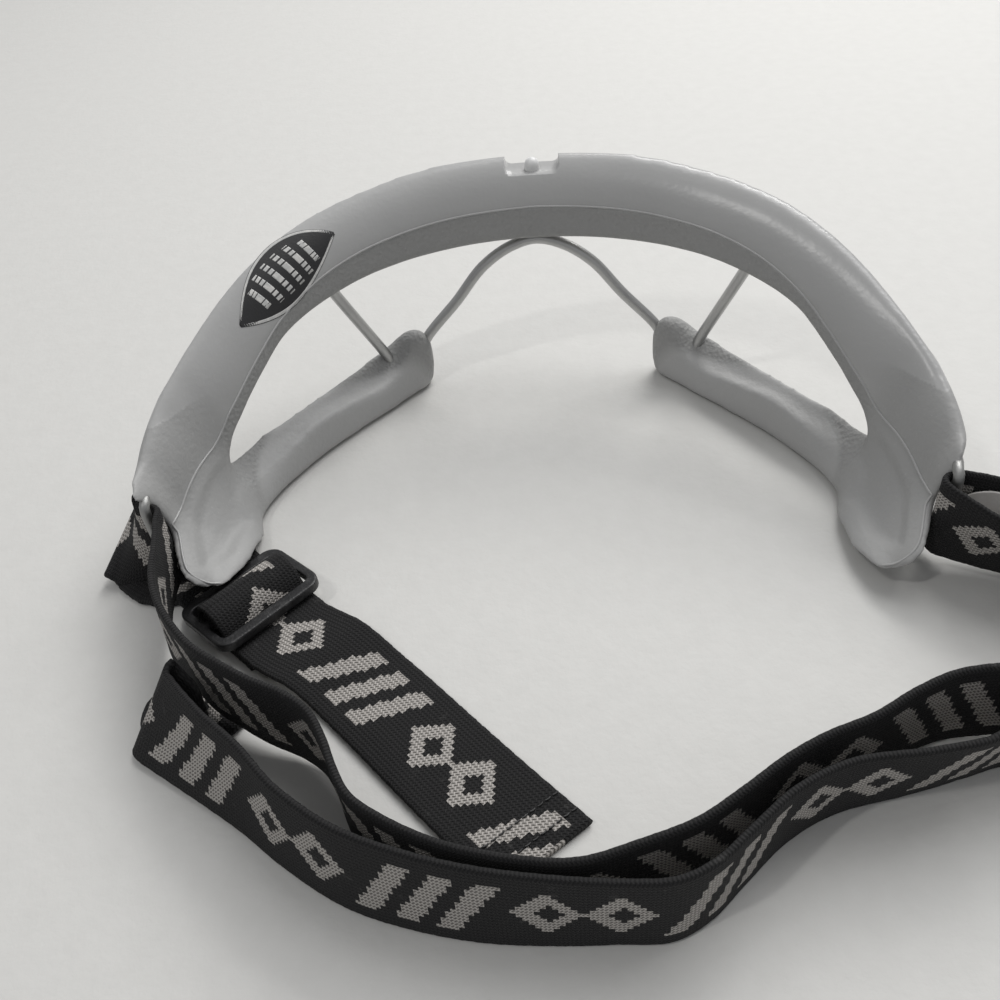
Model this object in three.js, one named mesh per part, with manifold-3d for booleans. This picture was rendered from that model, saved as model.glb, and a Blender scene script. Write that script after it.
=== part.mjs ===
// Lacrosse goggles, seen from the wearer's side: one soft moulding made of a brow bar, two temples
// with leaf-shaped pads and two cheek arms, a bent cage wire, two strap bails and an adjustable strap.
// Z up, table at the lowest point. Design frame: X to the right, Y towards the face
// of the goggles (away from the head), x = 0 on the symmetry plane, z = 0 on the table.
import * as THREE from 'three';
import { mergeVertices } from 'three/addons/utils/BufferGeometryUtils.js';
import Module from 'manifold-3d';

const wasm = await Module();
wasm.setup();
const { Manifold, Mesh: ManifoldMesh } = wasm;

// Wrap of the moulding.
const WRAP_HALF_WIDTH = 80;
const WRAP_DEPTH = 78;
const WRAP_CENTRE_Y = -72;
const FRAME_HEIGHT = 54.5;
const PAD_DEPTH = 20;

// Cheek arms.
const ARM_START_SHARES = [0.4125, 0.7551];
const ARM_END_SHARES = [0.8033, 0.2549];
const ARM_START_X = ARM_START_SHARES[0] * WRAP_HALF_WIDTH;
const ARM_START_Y = WRAP_CENTRE_Y + ARM_START_SHARES[1] * WRAP_DEPTH;
const ARM_RUN_X = (ARM_END_SHARES[0] - ARM_START_SHARES[0]) * WRAP_HALF_WIDTH;
const ARM_RUN_Y = (ARM_START_SHARES[1] - ARM_END_SHARES[1]) * WRAP_DEPTH;
const ARM_TURN = Math.atan2(ARM_RUN_Y, ARM_RUN_X);
const ARM_REACH = Math.hypot(ARM_RUN_X, ARM_RUN_Y);
const ARM_WIDTH = 7.5;
const ARM_HEIGHT = 12;

// Notch, centre plug and front bosses.
const NOTCH_WIDTH = 11.7;
const NOTCH_DEPTH = 3.2;
const NOTCH_CORNER = 1.6;
const NOTCH_RUN = 14;
const PLUG_RADIUS = 1.6;
const PLUG_HEIGHT = 2.6;
const PLUG_SINK = 1.2;
const PLUG_INSET = 4.8;
const PLUG_Y = WRAP_CENTRE_Y + WRAP_DEPTH - PLUG_INSET;
const BOSS_RADIUS = 3.4;
const BOSS_RISE = 1.2;
const BOSS_ANGLE = 47.2;
const BOSS_Z = 43.6;
const BOSS_DEPTH = 1.3;

// Badge.
const BADGE_LENGTH = 27;
const BADGE_WIDTH = 12;
const BADGE_TIP = 0.6;
const BADGE_ANGLE = -46.8;
const BADGE_RAISE = 0.45;
const BADGE_SINK = 0.9;

// Wires.
const CAGE_WIRE_RADIUS = 1.25;
const BAIL_WIRE_RADIUS = 1.0;
const FIT_GAP = 0.3;
const BORE_GAP = 0.55;
const BORE_OVERRUN = 0.6;
const BAIL_X_SHARE = 0.94375;
const BAIL_X = BAIL_X_SHARE * WRAP_HALF_WIDTH;
const BAIL_SETBACK = 0.3;
const BAIL_Y = WRAP_CENTRE_Y + BAIL_SETBACK;
const BAIL_LOW_Z = 2.9;
const BAIL_HIGH_Z = 22.8;
const BAIL_CORNER = 1.2;
const CAGE_REACH_X_SHARE = 0.595;
const CAGE_REACH_Z_SHARE = 0.789;
const CAGE_REACH_X = CAGE_REACH_X_SHARE * WRAP_HALF_WIDTH;
const CAGE_REACH_Z = CAGE_REACH_Z_SHARE * FRAME_HEIGHT;

// Strap.
const STRAP_WIDTH = 19;
const STRAP_THICKNESS = 1.4;
const BAIL_REACH_SHARE = 0.755;
const BAIL_DEPTH_SHARE = 0.717;
const STRAP_REACH = BAIL_X / BAIL_REACH_SHARE;
const STRAP_DEPTH = -BAIL_Y / BAIL_DEPTH_SHARE;
const STRAP_STEP = 3;
const PINCH_FROM_SHARE = 0.5;
const STRAP_JOIN_GAP = 0.3;
const PINCH_SHARE = 0.095;
const PINCH_REACH = 9;
const FLOOR_GAP = 0.2;

// Slider.
const SLIDER_X_SHARE = -0.578;
const SLIDER_Y_SHARE = -0.79;
const SLIDER_X = SLIDER_X_SHARE * STRAP_REACH;
const SLIDER_Y = SLIDER_Y_SHARE * STRAP_DEPTH;
const SLIDER_Z = 4.05;
const SLIDER_HEADING = -42.7;
const SLIDER_TILT = 7.2;
const SLIDER_PITCH = 7.5;
const SLIDER_BAR = 1.7;
const SLIDER_END_BAR = 2.5;
const SLIDER_HALF_WIDTH = 11.9;
const SLIDER_SLOT_HALF_WIDTH = 10.1;
const SLIDER_THICKNESS = 2.0;
const SLIDER_EDGE = 0.35;
const SLIDER_CORNER = 3.2;
const SLOT_CORNER = 0.8;
const LOOP_RADIUS = 2.15;
const LOOP_TAB = 12;

// Label.
const LABEL_RADIUS = 6.6;
const LABEL_THICKNESS = 0.4;
const LABEL_LIFT = 0.35;
const LABEL_X_SHARE = 0.836;
const LABEL_X = LABEL_X_SHARE * STRAP_REACH;
const LABEL_Z = 12.1;
const LABEL_FALL_SHARE = 0.2;

const group = new THREE.Group();
group.name = 'lacrosse_goggles';

function addMesh(name, geometry, colour, roughness, metalness) {
  const material = new THREE.MeshStandardMaterial({ color: colour, roughness, metalness });
  material.name = name;
  const mesh = new THREE.Mesh(geometry, material);
  mesh.name = name;
  group.add(mesh);
  return mesh;
}

function radians(degrees) {
  return THREE.MathUtils.degToRad(degrees);
}

// Smooth value of column `column` in a table whose first column rises.
function readTable(table, at, column) {
  const last = table.length - 1;
  let i = 0;
  while (i < last - 1 && at > table[i + 1][0]) {
    i += 1;
  }
  const x0 = table[i][0];
  const x1 = table[i + 1][0];
  const slopeAt = (k) => {
    const low = Math.max(0, k - 1);
    const high = Math.min(last, k + 1);
    if (low === k || high === k) {
      return (table[high][column] - table[low][column]) / (table[high][0] - table[low][0]);
    }
    const before = (table[k][column] - table[low][column]) / (table[k][0] - table[low][0]);
    const after = (table[high][column] - table[k][column]) / (table[high][0] - table[k][0]);
    if (before * after <= 0) {
      return 0;
    }
    return (2 * before * after) / (before + after);
  };
  const run = x1 - x0;
  const t = THREE.MathUtils.clamp((at - x0) / run, 0, 1);
  const h00 = 2 * t ** 3 - 3 * t ** 2 + 1;
  const h10 = t ** 3 - 2 * t ** 2 + t;
  const h01 = 3 * t ** 2 - 2 * t ** 3;
  const h11 = t ** 3 - t ** 2;
  const start = h00 * table[i][column] + h10 * run * slopeAt(i);
  return start + h01 * table[i + 1][column] + h11 * run * slopeAt(i + 1);
}

// Closed body through rings that all hold the same number of points.
function skinRings(rings, capped = true) {
  const positions = [];
  const indices = [];
  const count = rings[0].length;
  for (const ring of rings) {
    for (const point of ring) {
      positions.push(point.x, point.y, point.z);
    }
  }
  for (let i = 0; i < rings.length - 1; i += 1) {
    for (let j = 0; j < count; j += 1) {
      const next = (j + 1) % count;
      const a = i * count + j;
      const b = i * count + next;
      const c = a + count;
      const d = b + count;
      indices.push(a, c, b, b, c, d);
    }
  }
  const addCap = (ring, first, flip) => {
    const centre = new THREE.Vector3();
    ring.forEach((point) => centre.add(point));
    centre.divideScalar(count);
    const middle = positions.length / 3;
    positions.push(centre.x, centre.y, centre.z);
    for (let j = 0; j < count; j += 1) {
      const next = (j + 1) % count;
      if (flip) {
        indices.push(middle, first + j, first + next);
      } else {
        indices.push(middle, first + next, first + j);
      }
    }
  };
  if (capped) {
    addCap(rings[0], 0, true);
    addCap(rings[rings.length - 1], (rings.length - 1) * count, false);
  }
  const geometry = new THREE.BufferGeometry();
  geometry.setAttribute('position', new THREE.Float32BufferAttribute(positions, 3));
  geometry.setIndex(indices);
  return faceOutwards(geometry);
}

function signedVolume(geometry) {
  const p = geometry.attributes.position;
  const index = geometry.index;
  const a = new THREE.Vector3();
  const b = new THREE.Vector3();
  const c = new THREE.Vector3();
  let volume = 0;
  for (let i = 0; i < index.count; i += 3) {
    a.fromBufferAttribute(p, index.getX(i));
    b.fromBufferAttribute(p, index.getX(i + 1));
    c.fromBufferAttribute(p, index.getX(i + 2));
    volume += a.dot(b.cross(c));
  }
  return volume;
}

function faceOutwards(geometry) {
  if (signedVolume(geometry) < 0) {
    const index = geometry.index;
    for (let i = 0; i < index.count; i += 3) {
      const held = index.getX(i);
      index.setX(i, index.getX(i + 1));
      index.setX(i + 1, held);
    }
  }
  geometry.computeVertexNormals();
  return geometry;
}

function bare(geometry) {
  const copy = geometry.clone();
  copy.deleteAttribute('normal');
  copy.deleteAttribute('uv');
  return mergeVertices(copy);
}

function toSolid(geometry) {
  const merged = faceOutwards(bare(geometry));
  return new Manifold(new ManifoldMesh({
    numProp: 3,
    vertProperties: new Float32Array(merged.attributes.position.array),
    triVerts: new Uint32Array(merged.index.array),
  }));
}

function toGeometry(solid) {
  const mesh = solid.getMesh();
  const points = new Float32Array(mesh.numVert * 3);
  for (let i = 0; i < mesh.numVert; i += 1) {
    for (let k = 0; k < 3; k += 1) {
      points[i * 3 + k] = mesh.vertProperties[i * mesh.numProp + k];
    }
  }
  const geometry = new THREE.BufferGeometry();
  geometry.setAttribute('position', new THREE.BufferAttribute(points, 3));
  geometry.setIndex(new THREE.BufferAttribute(new Uint32Array(mesh.triVerts), 1));
  geometry.computeVertexNormals();
  return geometry;
}

function wireGeometry(points, radius, steps, sides) {
  const shape = new THREE.Shape();
  shape.absarc(0, 0, radius, 0, 2 * Math.PI, false);
  const path = new THREE.CatmullRomCurve3(points, false, 'centripetal');
  return new THREE.ExtrudeGeometry(shape, { steps, curveSegments: sides, extrudePath: path });
}

// Brow bar and temples.
// Section keys in shares of PAD_DEPTH (inwards from the wrap) and FRAME_HEIGHT (up): top edge, parting
// line, contact band edge, inner foot, under side, outer foot, outer middle.
const browShares = [
  [0, 0.15, 1.0, 0.55, 0.835, 0.575, 0.712, 0.49, 0.686, 0.25, 0.68, 0.075, 0.706, 0, 0.845],
  [15, 0.15, 0.995, 0.55, 0.826, 0.575, 0.708, 0.49, 0.682, 0.25, 0.677, 0.075, 0.702, 0, 0.84],
  [30, 0.15, 0.958, 0.55, 0.796, 0.565, 0.688, 0.48, 0.664, 0.25, 0.657, 0.075, 0.679, 0, 0.813],
  [40, 0.15, 0.921, 0.55, 0.752, 0.565, 0.657, 0.48, 0.633, 0.25, 0.628, 0.075, 0.651, 0, 0.78],
  [50, 0.15, 0.853, 0.55, 0.67, 0.55, 0.602, 0.47, 0.573, 0.25, 0.565, 0.075, 0.587, 0, 0.716],
  [57, 0.145, 0.789, 0.55, 0.582, 0.55, 0.51, 0.47, 0.483, 0.25, 0.477, 0.075, 0.5, 0, 0.642],
  [63, 0.14, 0.728, 0.54, 0.501, 0.54, 0.428, 0.47, 0.395, 0.25, 0.385, 0.075, 0.404, 0, 0.569],
  [68, 0.13, 0.679, 0.5, 0.428, 0.525, 0.35, 0.49, 0.305, 0.26, 0.295, 0.08, 0.32, 0, 0.514],
  [71, 0.125, 0.646, 0.46, 0.372, 0.52, 0.27, 0.56, 0.165, 0.35, 0.147, 0.13, 0.18, 0, 0.477],
  [73, 0.12, 0.624, 0.44, 0.358, 0.6, 0.19, 0.84, 0.012, 0.55, 0, 0.25, 0.03, 0, 0.44],
  [76, 0.1, 0.587, 0.425, 0.35, 0.7, 0.128, 0.925, 0.008, 0.6, 0, 0.3, 0.055, 0, 0.404],
  [80, 0.1, 0.545, 0.4, 0.325, 0.76, 0.1, 0.98, 0.038, 0.62, 0.04, 0.36, 0.078, 0.02, 0.37],
  [84, 0.1, 0.5, 0.365, 0.285, 0.78, 0.09, 0.99, 0.04, 0.66, 0.045, 0.4, 0.085, 0.07, 0.34],
];
const BROW_ANGLES = [0, 5, 10, 15, 20, 25, 30, 34, 38, 42, 46, 50, 54, 57, 60, 63, 65.5, 68, 69.5, 71,
  72, 73, 74.5, 76, 78, 80, 82, 84];
const END_START_ANGLE = 84;
// Rounded end of the temple: share of the way to the end edge, then how far the outer and the inner
// surface have closed on it.
const endShares = [
  [0.2, 0.2, 0],
  [0.4, 0.45, 0.03],
  [0.58, 0.67, 0.09],
  [0.74, 0.81, 0.2],
  [0.86, 0.89, 0.36],
  [0.94, 0.94, 0.56],
  [0.985, 0.975, 0.8],
  [1, 1, 1],
];
const EDGE_SHARE = 0.25;
// The tip of the pad stands off the table, over the strap and the slider.
const TIP_LIFT = 2.85;
const TIP_RISE_ANGLE = 4;
const TIP_FROM_SHARE = 0.4;
const TIP_TO_SHARE = 0.6;
// End angle of the edge by its inset, a share of PAD_DEPTH.
const edgeAngles = [
  [0.1, 85.6],
  [0.155, 86.7],
  [0.21, 87.1],
  [0.26, 87.1],
  [0.31, 86.9],
  [0.35, 86.9],
  [0.4, 88],
  [0.49, 93.4],
  [0.585, 95.6],
  [0.685, 96],
  [0.76, 95.8],
  [0.83, 95.2],
  [0.91, 93],
  [1, 89.6],
];
const TOP_BULGE_SHARE = 0.74;
const TOP_DROP_SHARE = 0.24;
const OUTER_COUNT = 6;

function wrapPoint(angle, inset, z) {
  const a = radians(angle);
  const x = (WRAP_HALF_WIDTH - inset) * Math.sin(a);
  const y = WRAP_CENTRE_Y + (WRAP_DEPTH - inset) * Math.cos(a);
  return new THREE.Vector3(x, y, z);
}

function browKeys(angle) {
  const at = Math.abs(angle);
  const keys = [];
  for (let k = 0; k < 7; k += 1) {
    const inset = readTable(browShares, at, 1 + 2 * k) * PAD_DEPTH;
    const z = readTable(browShares, at, 2 + 2 * k) * FRAME_HEIGHT;
    keys.push(new THREE.Vector2(inset, z));
  }
  return keys;
}

function bend(from, control, to, t) {
  const s = 1 - t;
  const x = s * s * from.x + 2 * s * t * control.x + t * t * to.x;
  const y = s * s * from.y + 2 * s * t * control.y + t * t * to.y;
  return new THREE.Vector2(x, y);
}

function topControl(top, seam) {
  const x = top.x + TOP_BULGE_SHARE * (seam.x - top.x);
  const y = top.y + TOP_DROP_SHARE * (seam.y - top.y);
  return new THREE.Vector2(x, y);
}

function sectionKeys(angle) {
  const [top, seam, band, foot, under, outerFoot, outer] = browKeys(angle);
  const section = [];
  for (const t of [0, 0.25, 0.5, 0.75]) {
    section.push(bend(top, topControl(top, seam), seam, t));
  }
  section.push(seam);
  section.push(seam.clone().lerp(band, 0.5));
  section.push(band);
  section.push(band.clone().lerp(foot, 0.5));
  section.push(foot);
  section.push(under);
  section.push(outerFoot);
  const outerControl = outer.clone().multiplyScalar(2).sub(outerFoot.clone().add(top).multiplyScalar(0.5));
  for (let k = 1; k < OUTER_COUNT; k += 1) {
    section.push(bend(outerFoot, outerControl, top, k / OUTER_COUNT));
  }
  return section;
}

function browSection(angle) {
  return sectionKeys(angle).map((point) => wrapPoint(angle, point.x, point.y));
}

// Section of the rounded end on one side; inner and outer points close in pairs on the end edge.
function endSection(side, row) {
  const [way, outerShare, innerShare] = row;
  const section = sectionKeys(END_START_ANGLE);
  const count = section.length;
  return section.map((point, k) => {
    const twin = section[(count - k) % count];
    const isInner = k <= count / 2;
    const edge = isInner ? point.clone().lerp(twin, EDGE_SHARE) : twin.clone().lerp(point, EDGE_SHARE);
    const endAngle = readTable(edgeAngles, edge.x / PAD_DEPTH, 1);
    const place = point.clone().lerp(edge, isInner ? innerShare : outerShare);
    const angle = END_START_ANGLE + way * (endAngle - END_START_ANGLE);
    const inPad = THREE.MathUtils.smoothstep(edge.x / PAD_DEPTH, TIP_FROM_SHARE, TIP_TO_SHARE);
    const risen = THREE.MathUtils.smoothstep(angle, END_START_ANGLE, END_START_ANGLE + TIP_RISE_ANGLE);
    return wrapPoint(side * angle, place.x, place.y + TIP_LIFT * inPad * risen);
  });
}

function browGeometry() {
  const left = BROW_ANGLES.slice(1).reverse().map((angle) => -angle);
  const middle = [...left, ...BROW_ANGLES].map((angle) => browSection(angle));
  const ends = [-1, 1].map((side) => endShares.map((row) => endSection(side, row)));
  return skinRings([...ends[0].reverse(), ...middle, ...ends[1]], false);
}

// Cheek arms.
// Rows along the arm in shares of ARM_REACH; nine section points in shares of ARM_WIDTH and ARM_HEIGHT:
// inner foot, inner wall, crease, two scoop points, far edge, outer shoulder, outer wall, outer foot.
const armShares = [
  [-0.226, 0.16, 0.42, 0.08, 0.5, 0.1, 0.79, 0.24, 0.96, 0.38, 0.98, 0.54, 0.9, 0.62, 0.7, 0.58, 0.5, 0.45, 0.42],
  [-0.2, 0.03, 0.2, -0.04, 0.5, -0.03, 0.96, 0.13, 1.2, 0.4, 1.23, 0.67, 1.1, 0.8, 0.75, 0.77, 0.36, 0.61, 0.2],
  [-0.156, -0.07, 0.04, -0.05, 0.5, 0, 1.08, 0.19, 1.3, 0.48, 1.33, 0.8, 1.17, 0.93, 0.8, 0.9, 0.25, 0.72, 0.04],
  [-0.11, -0.05, 0, 0, 0.5, 0.12, 1.11, 0.32, 1.27, 0.61, 1.27, 0.93, 1.13, 1.05, 0.83, 0.96, 0.25, 0.79, 0],
  [-0.06, -0.01, 0, 0.05, 0.46, 0.17, 0.87, 0.4, 0.97, 0.67, 1.03, 1.01, 1.07, 1.09, 0.83, 0.99, 0.25, 0.8, 0],
  [0, 0, 0, 0.07, 0.42, 0.2, 0.72, 0.43, 0.72, 0.75, 0.88, 1.07, 1.03, 1.11, 0.83, 1.0, 0.25, 0.8, 0],
  [0.12, 0.04, 0, 0.11, 0.42, 0.23, 0.68, 0.45, 0.63, 0.75, 0.78, 1.07, 1.0, 1.12, 0.83, 1.0, 0.25, 0.83, 0],
  [0.28, 0.13, 0, 0.19, 0.42, 0.28, 0.75, 0.51, 0.68, 0.76, 0.8, 1.04, 1.0, 1.11, 0.83, 0.99, 0.25, 0.83, 0],
  [0.5, 0.19, 0, 0.23, 0.42, 0.32, 0.83, 0.53, 0.77, 0.77, 0.83, 1.01, 1.0, 1.07, 0.83, 0.97, 0.25, 0.83, 0],
  [0.7, 0.09, 0, 0.13, 0.42, 0.24, 0.74, 0.48, 0.7, 0.75, 0.8, 1.0, 1.0, 1.07, 0.83, 0.96, 0.25, 0.81, 0],
  [0.84, -0.16, 0, -0.03, 0.38, 0.2, 0.69, 0.4, 0.67, 0.64, 0.78, 0.91, 1.0, 0.99, 0.83, 0.93, 0.25, 0.77, 0],
  [0.96, -0.48, 0, -0.27, 0.38, 0.16, 0.73, 0.37, 0.75, 0.56, 0.83, 0.8, 1.02, 0.88, 0.83, 0.83, 0.25, 0.67, 0],
  [1.08, -1.0, 0, -0.5, 0.38, -0.2, 0.63, 0.05, 0.75, 0.3, 0.83, 0.53, 0.9, 0.6, 0.8, 0.58, 0.25, 0.47, 0],
];
const ARM_STATIONS = [-0.226, -0.2, -0.18, -0.156, -0.132, -0.11, -0.085, -0.06, -0.03, 0, 0.06, 0.12,
  0.2, 0.28, 0.39, 0.5, 0.6, 0.7, 0.77, 0.84, 0.9, 0.96, 1.02, 1.08];

function armPoint(side, along, across, z) {
  const x = ARM_START_X + along * Math.cos(ARM_TURN) + across * Math.sin(ARM_TURN);
  const y = ARM_START_Y - along * Math.sin(ARM_TURN) + across * Math.cos(ARM_TURN);
  return new THREE.Vector3(side * x, y, z);
}

function armGeometry(side) {
  const rings = ARM_STATIONS.map((station) => {
    const ring = [];
    for (let k = 0; k < 9; k += 1) {
      const across = readTable(armShares, station, 1 + 2 * k) * ARM_WIDTH;
      const z = readTable(armShares, station, 2 + 2 * k) * ARM_HEIGHT;
      ring.push(armPoint(side, station * ARM_REACH, across, z));
    }
    return ring;
  });
  return skinRings(rings);
}

// Cage wire route, half of it, from the brow to the nose.
// Shares of CAGE_REACH_X, of WRAP_DEPTH from the wrap's centre and of CAGE_REACH_Z.
const cageShares = [
  [1, 0.6859, 1],
  [0.968, 0.7171, 0.84],
  [0.786, 0.8026, 0.288],
  [0.755, 0.8131, 0.19],
  [0.7, 0.8321, 0.15],
  [0.633, 0.8561, 0.19],
  [0.578, 0.8744, 0.293],
  [0.41, 0.8871, 0.5],
  [0.265, 0.9013, 0.69],
  [0.13, 0.9154, 0.785],
  [0, 0.9231, 0.819],
];

function cagePoint(side, row) {
  const y = WRAP_CENTRE_Y + row[1] * WRAP_DEPTH;
  return new THREE.Vector3(side * row[0] * CAGE_REACH_X, y, row[2] * CAGE_REACH_Z);
}

function cageRoute() {
  const left = cageShares.map((row) => cagePoint(-1, row));
  const right = cageShares.slice(0, -1).reverse().map((row) => cagePoint(1, row));
  return [...left, ...right];
}

function extended(points, distance) {
  const first = points[0].clone().sub(points[1]).setLength(distance).add(points[0]);
  return [first, ...points];
}

function cageBore(side) {
  const points = cageShares.slice(0, 8).map((row) => cagePoint(side, row));
  return toSolid(wireGeometry(extended(points, BORE_OVERRUN), CAGE_WIRE_RADIUS + BORE_GAP, 34, 6));
}

// Strap bails.
// Legs inside the temple: shares of BAIL_X, of WRAP_CENTRE_Y and of BAIL_HIGH_Z.
const lowLegShares = [[0.927, 0.84, 0.31], [0.94, 0.882, 0.265], [0.978, 0.942, 0.157]];
const highLegShares = [[1.01, 0.94, 0.992], [1.01, 0.885, 0.955], [1.0, 0.84, 0.92]];

function bailRoute(side) {
  const legPoint = (row) => new THREE.Vector3(
    side * row[0] * BAIL_X,
    row[1] * WRAP_CENTRE_Y,
    row[2] * BAIL_HIGH_Z,
  );
  const at = (dy, z) => new THREE.Vector3(side * BAIL_X, BAIL_Y + dy, z);
  const slack = BAIL_CORNER * (1 - Math.SQRT1_2);
  return [
    ...lowLegShares.map(legPoint),
    at(BAIL_CORNER, BAIL_LOW_Z),
    at(slack, BAIL_LOW_Z + slack),
    at(0, BAIL_LOW_Z + BAIL_CORNER),
    at(0, (BAIL_LOW_Z + BAIL_HIGH_Z) / 2),
    at(0, BAIL_HIGH_Z - BAIL_CORNER),
    at(slack, BAIL_HIGH_Z - slack),
    at(BAIL_CORNER, BAIL_HIGH_Z),
    ...highLegShares.map(legPoint),
  ];
}

function bailBores(side) {
  const route = bailRoute(side);
  const low = extended(route.slice(0, 4), BORE_OVERRUN);
  const high = extended(route.slice(-4).reverse(), BORE_OVERRUN);
  return [low, high].map((points) => toSolid(wireGeometry(points, BAIL_WIRE_RADIUS + BORE_GAP, 12, 5)));
}

// Notch and front bosses.
function notchSolid() {
  const half = NOTCH_WIDTH / 2;
  const floor = FRAME_HEIGHT - NOTCH_DEPTH;
  const roof = FRAME_HEIGHT + NOTCH_DEPTH;
  const shape = new THREE.Shape();
  shape.moveTo(-half, roof);
  shape.lineTo(-half, floor + NOTCH_CORNER);
  shape.quadraticCurveTo(-half, floor, NOTCH_CORNER - half, floor);
  shape.lineTo(half - NOTCH_CORNER, floor);
  shape.quadraticCurveTo(half, floor, half, floor + NOTCH_CORNER);
  shape.lineTo(half, roof);
  shape.closePath();
  const cut = new THREE.ExtrudeGeometry(shape, { depth: 2 * NOTCH_RUN, bevelEnabled: false, curveSegments: 5 });
  cut.translate(0, 0, -NOTCH_RUN);
  cut.rotateX(Math.PI / 2);
  return toSolid(cut);
}

function bossSolid(side) {
  const ball = new THREE.SphereGeometry(1, 20, 12);
  ball.scale(BOSS_RADIUS, BOSS_RISE + BOSS_DEPTH, BOSS_RADIUS);
  ball.rotateZ(-side * radians(BOSS_ANGLE));
  const seat = wrapPoint(BOSS_ANGLE, BOSS_DEPTH, BOSS_Z);
  ball.translate(side * seat.x, seat.y, seat.z);
  return toSolid(ball);
}

// Badge on the left brow, following the upper surface.
function upperPoint(angle, share, lift) {
  const pointAt = (a, s) => {
    const [top, seam] = browKeys(a);
    const section = bend(top, topControl(top, seam), seam, s);
    return wrapPoint(a, section.x, section.y);
  };
  const step = 0.01;
  const along = pointAt(angle + step, share).sub(pointAt(angle - step, share));
  const across = pointAt(angle, share + step).sub(pointAt(angle, share - step));
  const normal = along.cross(across).normalize();
  return pointAt(angle, share).addScaledVector(normal, lift);
}

const BADGE_MIDDLE_SHARE = 0.53;
const BADGE_ARC_SHARE = 0.888;

function badgeGeometry(grow, raise, sink) {
  const half = BADGE_LENGTH / 2 + grow;
  const arc = WRAP_HALF_WIDTH * radians(1) * BADGE_ARC_SHARE;
  const rings = [];
  const stations = 16;
  for (let i = 0; i <= stations; i += 1) {
    const u = (2 * i) / stations - 1;
    const halfWidth = (BADGE_WIDTH / 2 + grow) * (1 - u * u) + BADGE_TIP / 2;
    const angle = BADGE_ANGLE + (u * half) / arc;
    const [top, seam] = browKeys(angle);
    const span = top.distanceTo(seam);
    const ring = [];
    for (const v of [-1, -0.5, 0, 0.5, 1]) {
      ring.push(upperPoint(angle, BADGE_MIDDLE_SHARE + (v * halfWidth) / span, raise));
    }
    for (const v of [1, 0.5, 0, -0.5, -1]) {
      ring.push(upperPoint(angle, BADGE_MIDDLE_SHARE + (v * halfWidth) / span, -sink));
    }
    rings.push(ring);
  }
  return skinRings(rings);
}

// Moulding.
function frameGeometry() {
  let body = toSolid(browGeometry());
  for (const side of [-1, 1]) {
    body = body.add(toSolid(armGeometry(side)));
    body = body.add(bossSolid(side));
  }
  body = body.subtract(notchSolid());
  for (const side of [-1, 1]) {
    body = body.subtract(cageBore(side));
    for (const bore of bailBores(side)) {
      body = body.subtract(bore);
    }
  }
  body = body.subtract(toSolid(badgeGeometry(BORE_GAP, 3 * BADGE_RAISE, BADGE_SINK + FIT_GAP)));
  body = body.subtract(plugSeat());
  return toGeometry(body);
}

// Centre plug in the floor of the notch.
function plugPoints(radius, low, high) {
  const points = [new THREE.Vector2(0, low), new THREE.Vector2(radius, low)];
  const dome = 6;
  for (let i = 0; i <= dome; i += 1) {
    const a = (i / dome) * (Math.PI / 2);
    points.push(new THREE.Vector2(radius * Math.cos(a), high - radius + radius * Math.sin(a)));
  }
  return points;
}

function plugGeometry() {
  const floor = FRAME_HEIGHT - NOTCH_DEPTH;
  const low = floor - PLUG_SINK;
  const plug = new THREE.LatheGeometry(plugPoints(PLUG_RADIUS, low, low + PLUG_HEIGHT + PLUG_SINK), 20);
  plug.rotateX(Math.PI / 2);
  plug.translate(0, PLUG_Y, 0);
  return faceOutwards(bare(plug));
}

function plugSeat() {
  const floor = FRAME_HEIGHT - NOTCH_DEPTH;
  const depth = PLUG_SINK + FIT_GAP;
  const seat = new THREE.CylinderGeometry(PLUG_RADIUS + FIT_GAP, PLUG_RADIUS + FIT_GAP, 2 * depth, 20);
  seat.rotateX(Math.PI / 2);
  seat.translate(0, PLUG_Y, floor);
  return toSolid(seat);
}

// Strap ribbons.
// Rows: x of the centre line as a share of STRAP_REACH, y of STRAP_DEPTH and height of STRAP_WIDTH, then
// the direction of the width.
const HEADING = new THREE.Vector2(Math.cos(radians(SLIDER_HEADING)), Math.sin(radians(SLIDER_HEADING)));
const FLAT = STRAP_THICKNESS / 2 + FLOOR_GAP;

function axisStation(along, z, drift = 0) {
  const width = new THREE.Vector3(-HEADING.y, HEADING.x, 0);
  const centre = new THREE.Vector3(SLIDER_X + along * HEADING.x, SLIDER_Y + along * HEADING.y, z);
  return { centre: centre.addScaledVector(width, drift), width };
}

function routeStation(row) {
  return {
    centre: new THREE.Vector3(row[0] * STRAP_REACH, row[1] * STRAP_DEPTH, row[2] * STRAP_WIDTH),
    width: new THREE.Vector3(row[3], row[4], row[5]).normalize(),
    pinched: row[2] > PINCH_FROM_SHARE,
  };
}

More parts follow.
